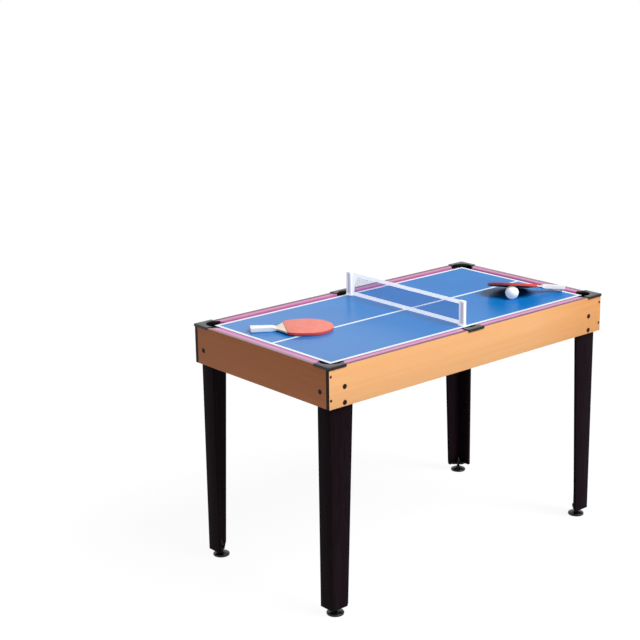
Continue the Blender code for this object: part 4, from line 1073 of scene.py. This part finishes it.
def cotton_tape():
    """White cotton twill with slanting ribs and a row of stitches near each edge. Light comes through the
    thin cloth, which a faint glow stands in for."""
    cotton = Finish("white cotton tape", {"Roughness": 0.85, "Sheen Weight": 0.2, "Sheen Roughness": 0.5,
                                          "Specular IOR Level": 0.25, "Emission Strength": 0.68})
    y, z = cotton.split(cotton.place())[1:]
    twill = ((y + z) * 5200).math("SINE") * 0.5 + 0.5
    fibres = cotton.noise(cotton.place(), 3000, detail=2)
    seam = TAPE - 0.0018
    lower, upper = [abs(z - height) < 3.5e-4 for height in (NET_LOW[2] + seam, NET_HIGH[2] - seam)]
    stitches = ((y * 2100).math("SINE") > -0.2) * lower.math("MAXIMUM", upper)
    tone = cotton.mix(twill * 0.35, display(250, 250, 248), display(226, 227, 234))
    tone = cotton.mix(stitches, tone, display(254, 254, 255))
    return cotton.feed({
        "Base Color": tone,
        "Emission Color": tone,
        "Normal": cotton.grooves(twill * 0.5 + fibres * 0.4 + stitches * 1.2, 1.2e-4),
    })


def net_thread():
    """Twisted blue thread, which fades against the blue of the board."""
    thread = Finish("net thread", {"Roughness": 0.6, "Sheen Weight": 0.05, "Specular IOR Level": 0.1})
    twist = thread.noise(thread.place(), 5000, detail=1)
    return thread.feed({
        "Base Color": thread.mix(twist, display(78, 126, 212), display(100, 148, 230)),
        "Normal": thread.grooves(twist, 3e-5),
    })


COTTON = cotton_tape()
mesh_net = piece("netting", netting(), net_thread(), "net_set", ["net"])
cotton_parts = {
    "tape_top": tape_points(NET_HIGH[2] - TAPE, NET_HIGH[2], NET_REACH),
    "tape_bottom": tape_points(NET_LOW[2], NET_LOW[2] + TAPE, NET_REACH),
    "tape_front_end": end_points(-1, 0.0032, 0.0032),
    "net_gusset": end_points(1, 0.030, 0.011),
}
net_cloth = [piece(name, [grid(points)], COTTON, "net_set")
             for name, points in cotton_parts.items()]
net_flat = (NET_HIGH[2] - NET_LOW[2] - 2 * (TAPE - TUCK), 2 * NET_REACH)
OPENWORK_SHARE * net_flat[0] * net_flat[1]

# Bats
# Two plywood bats with a smooth red rubber glued to one face and a black one to the other, red tape round the
# rim, and a pale moulded grip. One lies flat; the other leans on the ball, with its grip on the end cushion.
BLADE_RADIUS, BLADE_SHOULDER, SHOULDER_POWER = 0.075, 0.080, 2.6
BLADE_THICK, LAYERS, RUBBER_THICK = 0.0045, 5, 0.0014
HALF_BAT = BLADE_THICK / 2 + SEAT + RUBBER_THICK
RUBBER_SETBACK = 0.0174
NECK_LENGTH, NECK_HALF = 0.010, 0.0150
NECK_BEND_X, NECK_BEND_Y = 0.077, 0.025
HANDLE_LENGTH, HANDLE_RAMP = 0.072, 0.014
HALF_HANDLE, HANDLE_FRONT, FRONT_FLARE = 0.0072, 0.0044, 0.0030
HANDLE_HALF, HANDLE_FLARE, HANDLE_ROUND = 0.0124, 0.0028, 0.0025
TONGUE_HALF, TONGUE_LENGTH = 0.008, 0.060
HANDLE_START = BLADE_SHOULDER + NECK_LENGTH


def blade_side(reach):
    """One side of a blade's edge: |x/a|^n + |y/b|^n = 1 from its shoulder, that far ahead of the middle, back
    to its widest place, and a circle from there almost to the tip."""
    start = np.arccos((reach / BLADE_SHOULDER) ** (SHOULDER_POWER / 2))
    t = np.linspace(start, pi / 2, 48)[:-1]
    share = 2 / SHOULDER_POWER
    full = np.stack([BLADE_SHOULDER * np.cos(t) ** share, BLADE_RADIUS * np.sin(t) ** share], axis=-1)
    t = np.linspace(pi / 2, pi, 40)[:-1]
    return np.concatenate([full, BLADE_RADIUS * np.stack([np.cos(t), np.sin(t)], axis=-1)])


def both_sides(side):
    """A blade's whole outline: one side, the tip, and the same side mirrored."""
    return np.concatenate([side, [(-BLADE_RADIUS, 0)], side[::-1] * (1, -1)])


def neck_side():
    """The wood's side with its neck: from the grip a quadratic curve (1-s)^2 a + 2s(1-s) b + s^2 c runs out,
    a little hollow, to the corner of the rubber."""
    side = blade_side(BLADE_SHOULDER - RUBBER_SETBACK)
    s = np.linspace(0, 1, 16)[:-1, None]
    start = (HANDLE_START - SEAT, NECK_HALF)
    curve = (1 - s) ** 2 * start + 2 * s * (1 - s) * (NECK_BEND_X, NECK_BEND_Y) + s ** 2 * side[0]
    return np.concatenate([curve, side])


def plate_shell(outline, low, high, edge):
    """A flat plate with a softly rounded rim. Each ring is the outline drawn towards its middle; across the
    rim the ring's height and its draw follow a quarter circle, and then it closes on the middle."""
    middle = outline.mean(axis=0)
    arm = outline - middle
    size = np.linalg.norm(arm, axis=1, keepdims=True)
    turn = np.linspace(0, pi / 2, 4)
    rise, draw = edge * (1 - np.cos(turn)), edge * (1 - np.sin(turn))
    height = np.concatenate([[low], low + rise, high - rise[::-1], [high]])
    share = 1 - np.concatenate([draw, draw[::-1]])[:, None, None] / size
    rings = np.concatenate([0 * share[:1], share, 0 * share[:1]])
    flat = middle + arm * rings
    return grid(np.dstack([flat, np.broadcast_to(height[:, None], flat.shape[:2])]), capped=False)


def rim_tape(thick=2e-4):
    """The tape round the rim: a thin upright section carried along the rubber's edge, square to it."""
    path = both_sides(blade_side(BLADE_SHOULDER - RUBBER_SETBACK))
    along = np.gradient(path, axis=0)
    along = along / np.linalg.norm(along, axis=1, keepdims=True)
    out = np.stack([along[:, 1], -along[:, 0]], axis=-1)
    half = HALF_BAT - 1e-4
    section = softened(np.array([(1e-5, -half), (thick, -half), (thick, half), (1e-5, half)]), 8e-5)
    flat = path[:, None] + out[:, None] * section[:, :1]
    return grid(np.dstack([flat, np.broadcast_to(section[:, 1], flat.shape[:2])]))


def handle_shell():
    """The grip: a box section with round corners. Its half width is w + f s^2 at share s of its length, and
    g (1 - r)^2 more at share r of the ramp. Its half thickness rises over the ramp as a sine. Both ends are
    drawn in a little and closed."""
    along = np.concatenate([[0, 0, 2e-4, 8e-4], np.linspace(2e-3, HANDLE_RAMP, 8),
                            np.linspace(HANDLE_RAMP, HANDLE_LENGTH - 2e-3, 16)[1:],
                            HANDLE_LENGTH - np.array([1.2e-3, 6e-4, 2e-4, 0, 0])])
    drawn = np.zeros_like(along)
    drawn[1:4] = [6e-4, 3e-4, 1e-4]
    drawn[-5:-1] = [1e-4, 3e-4, 7e-4, 1.3e-3]
    ramp = np.clip(along / HANDLE_RAMP, 0, 1)
    flare = HANDLE_FLARE * (along / HANDLE_LENGTH) ** 2 + FRONT_FLARE * (1 - ramp) ** 2
    half_width = HANDLE_HALF + flare - drawn
    half_thick = HANDLE_FRONT + (HALF_HANDLE - HANDLE_FRONT) * np.sin(pi / 2 * ramp) - drawn * 0.5
    corners = np.array([(1, 1), (-1, 1), (-1, -1), (1, -1)])
    outlines = softened(corners * np.stack([half_width, half_thick], axis=-1)[:, None], HANDLE_ROUND, 6)
    outlines[[0, -1]] = 0
    return grid(carried(outlines, HANDLE_START + along, (0, 1, 2)), capped=False)


def plywood():
    """Plywood by its own place: five layers across the thickness, fine grain along it."""
    wood = Finish("bat plywood", {"Roughness": 0.5, "Specular IOR Level": 0.3})
    own = wood.own_place()
    grain = wood.noise(own, 900, (0.03, 1, 1), 3)
    layers = (wood.split(own)[2] * (pi * LAYERS / BLADE_THICK)).math("COSINE") > 0
    pale = wood.mix(grain, display(254, 246, 232), display(248, 234, 212))
    return wood.feed({
        "Base Color": wood.mix(layers * 0.3, pale, display(216, 190, 154)),
        "Normal": wood.grooves(grain, 3e-5),
    })


def rubber(name, dark, light):
    """Smooth bat rubber: a faint grid of the pimples below it, and a soft, slightly dusty sheen."""
    sheet = Finish(name, {"Specular IOR Level": 0.3})
    own = sheet.own_place()
    x, y = sheet.split(own)[:2]
    dimples = (x * 3100).math("SINE") * (y * 3100).math("SINE") * 0.5 + 0.5
    dust = sheet.noise(own, 60, detail=4)
    fine = sheet.noise(own, 2500, detail=2)
    return sheet.feed({
        "Base Color": sheet.mix(sheet.ease(dust, 0.35, 0.7), display(*dark), display(*light)),
        "Roughness": 0.46 + dust * 0.14,
        "Normal": sheet.grooves(dimples * 0.5 + fine * 0.5, 2.5e-5),
    })


def rim_red():
    """Glossy red edge tape with a fine lengthwise ribbing."""
    tape = Finish("red rim tape", {"Specular IOR Level": 0.4})
    own = tape.own_place()
    ribs = (tape.split(own)[2] * 9000).math("SINE") * 0.5 + 0.5
    cloudy = tape.noise(own, 300, detail=3)
    return tape.feed({
        "Base Color": tape.mix(cloudy, display(216, 66, 62), display(236, 92, 84)),
        "Roughness": 0.32 + cloudy * 0.14,
        "Normal": tape.grooves(ribs, 2e-5),
    })


def grip_plastic():
    """A pale moulded grip: nearly white, with fine grain along it and faint warmer bands."""
    grip = Finish("pale grip", {"Specular IOR Level": 0.4, "Coat Weight": 0.15, "Coat Roughness": 0.2})
    own = grip.own_place()
    grain = grip.noise(own, 800, (0.04, 1, 1), 4, 0.4)
    bands = grip.noise(own, 120, (0.06, 1, 1), 3)
    tone = grip.mix(grip.ease(grain, 0.35, 0.75), display(254, 253, 251), display(249, 246, 240))
    tone = grip.mix(grip.ease(bands, 0.5, 0.8) * 0.3, tone, display(246, 241, 232))
    return grip.feed({
        "Base Color": tone,
        "Roughness": 0.4 + grain * 0.12,
        "Normal": grip.grooves(grain, 3e-5),
    })


def solid_points(node):
    """The corners of a solid, each of them once."""
    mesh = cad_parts[node].data
    points = np.empty(len(mesh.vertices) * 3)
    mesh.vertices.foreach_get("co", points)
    return np.unique(points.reshape(-1, 3).round(6), axis=0)


def bat_place(bat):
    """A bat's own frame, read from its solids: Z is the way in which the red rubber is thinnest, X runs from
    the rubber to the grip, and the origin lies a blade's radius in from the tip."""
    sheet, grip = solid_points(f"{bat}_red_rubber"), solid_points(f"{bat}_handle")
    middle = sheet.mean(axis=0)
    z = np.linalg.svd(sheet - middle)[2][2]
    z = z * np.sign(z[2])
    x = grip.mean(axis=0) - middle
    x = x - z * (x @ z)
    x = x / np.linalg.norm(x)
    tip = ((sheet - middle) @ x).min()
    place = np.eye(4)
    place[:3, :3] = np.stack([x, np.cross(z, x), z], axis=1)
    place[:3, 3] = middle + x * (tip + BLADE_RADIUS) - z * (HALF_BAT - RUBBER_THICK / 2)
    return place


half_wood = BLADE_THICK / 2
rubber_edge = both_sides(blade_side(BLADE_SHOULDER - RUBBER_SETBACK))
tongue_low = (HANDLE_START - 2e-3, -TONGUE_HALF, -half_wood)
tongue_high = (HANDLE_START + TONGUE_LENGTH, TONGUE_HALF, half_wood)
wood_shells = [plate_shell(both_sides(neck_side()), -half_wood, half_wood, 4e-4),
               rounded_block(tongue_low, tongue_high, 4e-4)]
red_shell = plate_shell(rubber_edge, half_wood + 2e-5, HALF_BAT, 4e-4)
bat_parts = [
    ("blade", wood_shells, plywood(), "pale_plywood"),
    ("red_rubber", [red_shell], rubber("red rubber", (236, 132, 118), (243, 145, 130)), "red_rubber"),
    ("black_rubber", [scaled(red_shell, (1, 1, -1))], rubber("black rubber", (24, 22, 24), (38, 36, 38)),
     "black_rubber"),
    ("handle", [handle_shell()], grip_plastic(), "cream_handle"),
]
RIM_RED = rim_red()
for bat in ("flat_bat", "leaning_bat"):
    place = bat_place(bat)
    for part, shells, finish, slot in bat_parts:
        piece(f"{bat}_fine_{part}", shells, finish, bat, [f"{bat}_{part}"], place=place)
    piece(f"{bat}_rim_tape", [rim_tape()], RIM_RED, bat, place=place)

# Ball
# A white table tennis ball of two thin halves glued together. It is matt, with a faint seam, and loose.
BALL_RADIUS = 0.020


def turned_about(axis, angle):
    """The matrix of a turn about X, Y or Z."""
    one, two = [(1, 2), (2, 0), (0, 1)][axis]
    matrix = np.eye(4)
    matrix[one, one] = matrix[two, two] = cos(angle)
    matrix[one, two], matrix[two, one] = -sin(angle), sin(angle)
    return matrix


def ball_points(around=64, up=32):
    """A sphere by longitude and latitude. At its equator the radius dips by a hair for the seam."""
    latitude = np.linspace(-pi / 2, pi / 2, up + 1)[:, None]
    longitude = np.linspace(0, 2 * pi, around, endpoint=False)
    r = BALL_RADIUS - 4e-5 * np.exp(-(latitude / 0.02) ** 2)
    return turned(r * np.cos(latitude), r * np.sin(latitude), longitude)


def ball_skin():
    """Matt white plastic. It lets light through, which a faint glow stands in for."""
    skin = Finish("ball skin", {"Specular IOR Level": 0.4, "Emission Strength": 0.25})
    own = skin.own_place()
    fine = skin.noise(own, 3000, detail=2)
    seam = abs(skin.split(own)[2]) < 2.5e-4
    tone = skin.mix(fine, display(246, 246, 244), display(252, 252, 250))
    tone = skin.mix(seam * 0.5, tone, display(214, 214, 212))
    return skin.feed({
        "Base Color": tone,
        "Emission Color": tone,
        "Roughness": 0.42 + fine * 0.1,
        "Normal": skin.grooves(fine, 2e-5),
    })


place = turned_about(0, radians(55)) @ turned_about(1, radians(20))
place[:3, 3] = np.mean(node_box("tennis_ball"), axis=0)
piece("ball", [grid(ball_points(), capped=False)], ball_skin(), "ball", ["tennis_ball"], place=place)

# Studio
# A pale floor that runs out to white, a white surround, one broad soft light from the front right, and a long
# lens that looks at the table from its front left and a little above it.
FLOOR_REACH, FLOOR_LEVEL = 14, -4e-4
WHITE = (1, 1, 1, 1)
WHITE_SHARE, WHITE_STRENGTH, FILL_STRENGTH = 0.87, 1.08, 0.18


def floor():
    """A flat sheet that shows white to the camera and to gloss, and keeps a part of the table's shadow."""
    mesh = bpy.data.meshes.new("floor")
    signs = ((-1, -1), (1, -1), (1, 1), (-1, 1))
    corners = [(x * FLOOR_REACH, y * FLOOR_REACH, FLOOR_LEVEL) for x, y in signs]
    mesh.from_pydata(corners, [], [(0, 1, 2, 3)])
    made = bpy.data.objects.new("floor", mesh)
    bpy.context.scene.collection.objects.link(made)
    finish = Finish("floor", {"Base Color": (0.6, 0.6, 0.6, 1), "Roughness": 0.9})
    white = finish.node("ShaderNodeEmission", {}, {"Color": WHITE, "Strength": WHITE_STRENGTH})
    lit = Shade(finish, finish.shader.outputs["BSDF"])
    both = finish.node("ShaderNodeMixShader", {}, {0: finish.seen() * WHITE_SHARE, 1: lit, 2: white})
    finish.link(finish.tree.nodes["Material Output"].inputs, {"Surface": both})
    mesh.materials.append(finish.material)


def surround():
    """White to the camera and to gloss, and a plain soft fill for everything else."""
    world = bpy.data.worlds.new("surround")
    bpy.context.scene.world = world
    world.use_nodes = True
    sky = Nodes(world.node_tree)
    sockets = {"Value": sky.seen(), "To Min": FILL_STRENGTH, "To Max": 1.0}
    strength = sky.node("ShaderNodeMapRange", {}, sockets)
    sky.link(world.node_tree.nodes["Background"].inputs, {"Color": WHITE, "Strength": strength})


def set_up(name, data, back, place=(0, 0, 0), roll=0.0):
    """Puts a lamp or a camera in the studio, with its back turned to a direction."""
    made = bpy.data.objects.new(name, data)
    bpy.context.scene.collection.objects.link(made)
    made.matrix_world = pointing(back, place, roll).T.tolist()
    return made


floor()
surround()

lamp = bpy.data.lights.new("key", "SUN")
lamp.energy = 3.45
lamp.angle = radians(35)
set_up("key", lamp, (0.3, -0.72, 0.9))

AZIMUTH, ELEVATION, ROLL = radians(-40.446), radians(15.661), radians(-0.891)
CAMERA_PLACE = (-2.896, -3.016, 1.857)
lens = bpy.data.cameras.new("camera")
lens.lens = 82.524
lens.sensor_width = 36
lens.clip_end = 60
back = (sin(AZIMUTH) * cos(ELEVATION), -cos(AZIMUTH) * cos(ELEVATION), sin(ELEVATION))
bpy.context.scene.camera = set_up("camera", lens, back, CAMERA_PLACE, ROLL)
bpy.context.scene.view_settings.view_transform = "Standard"
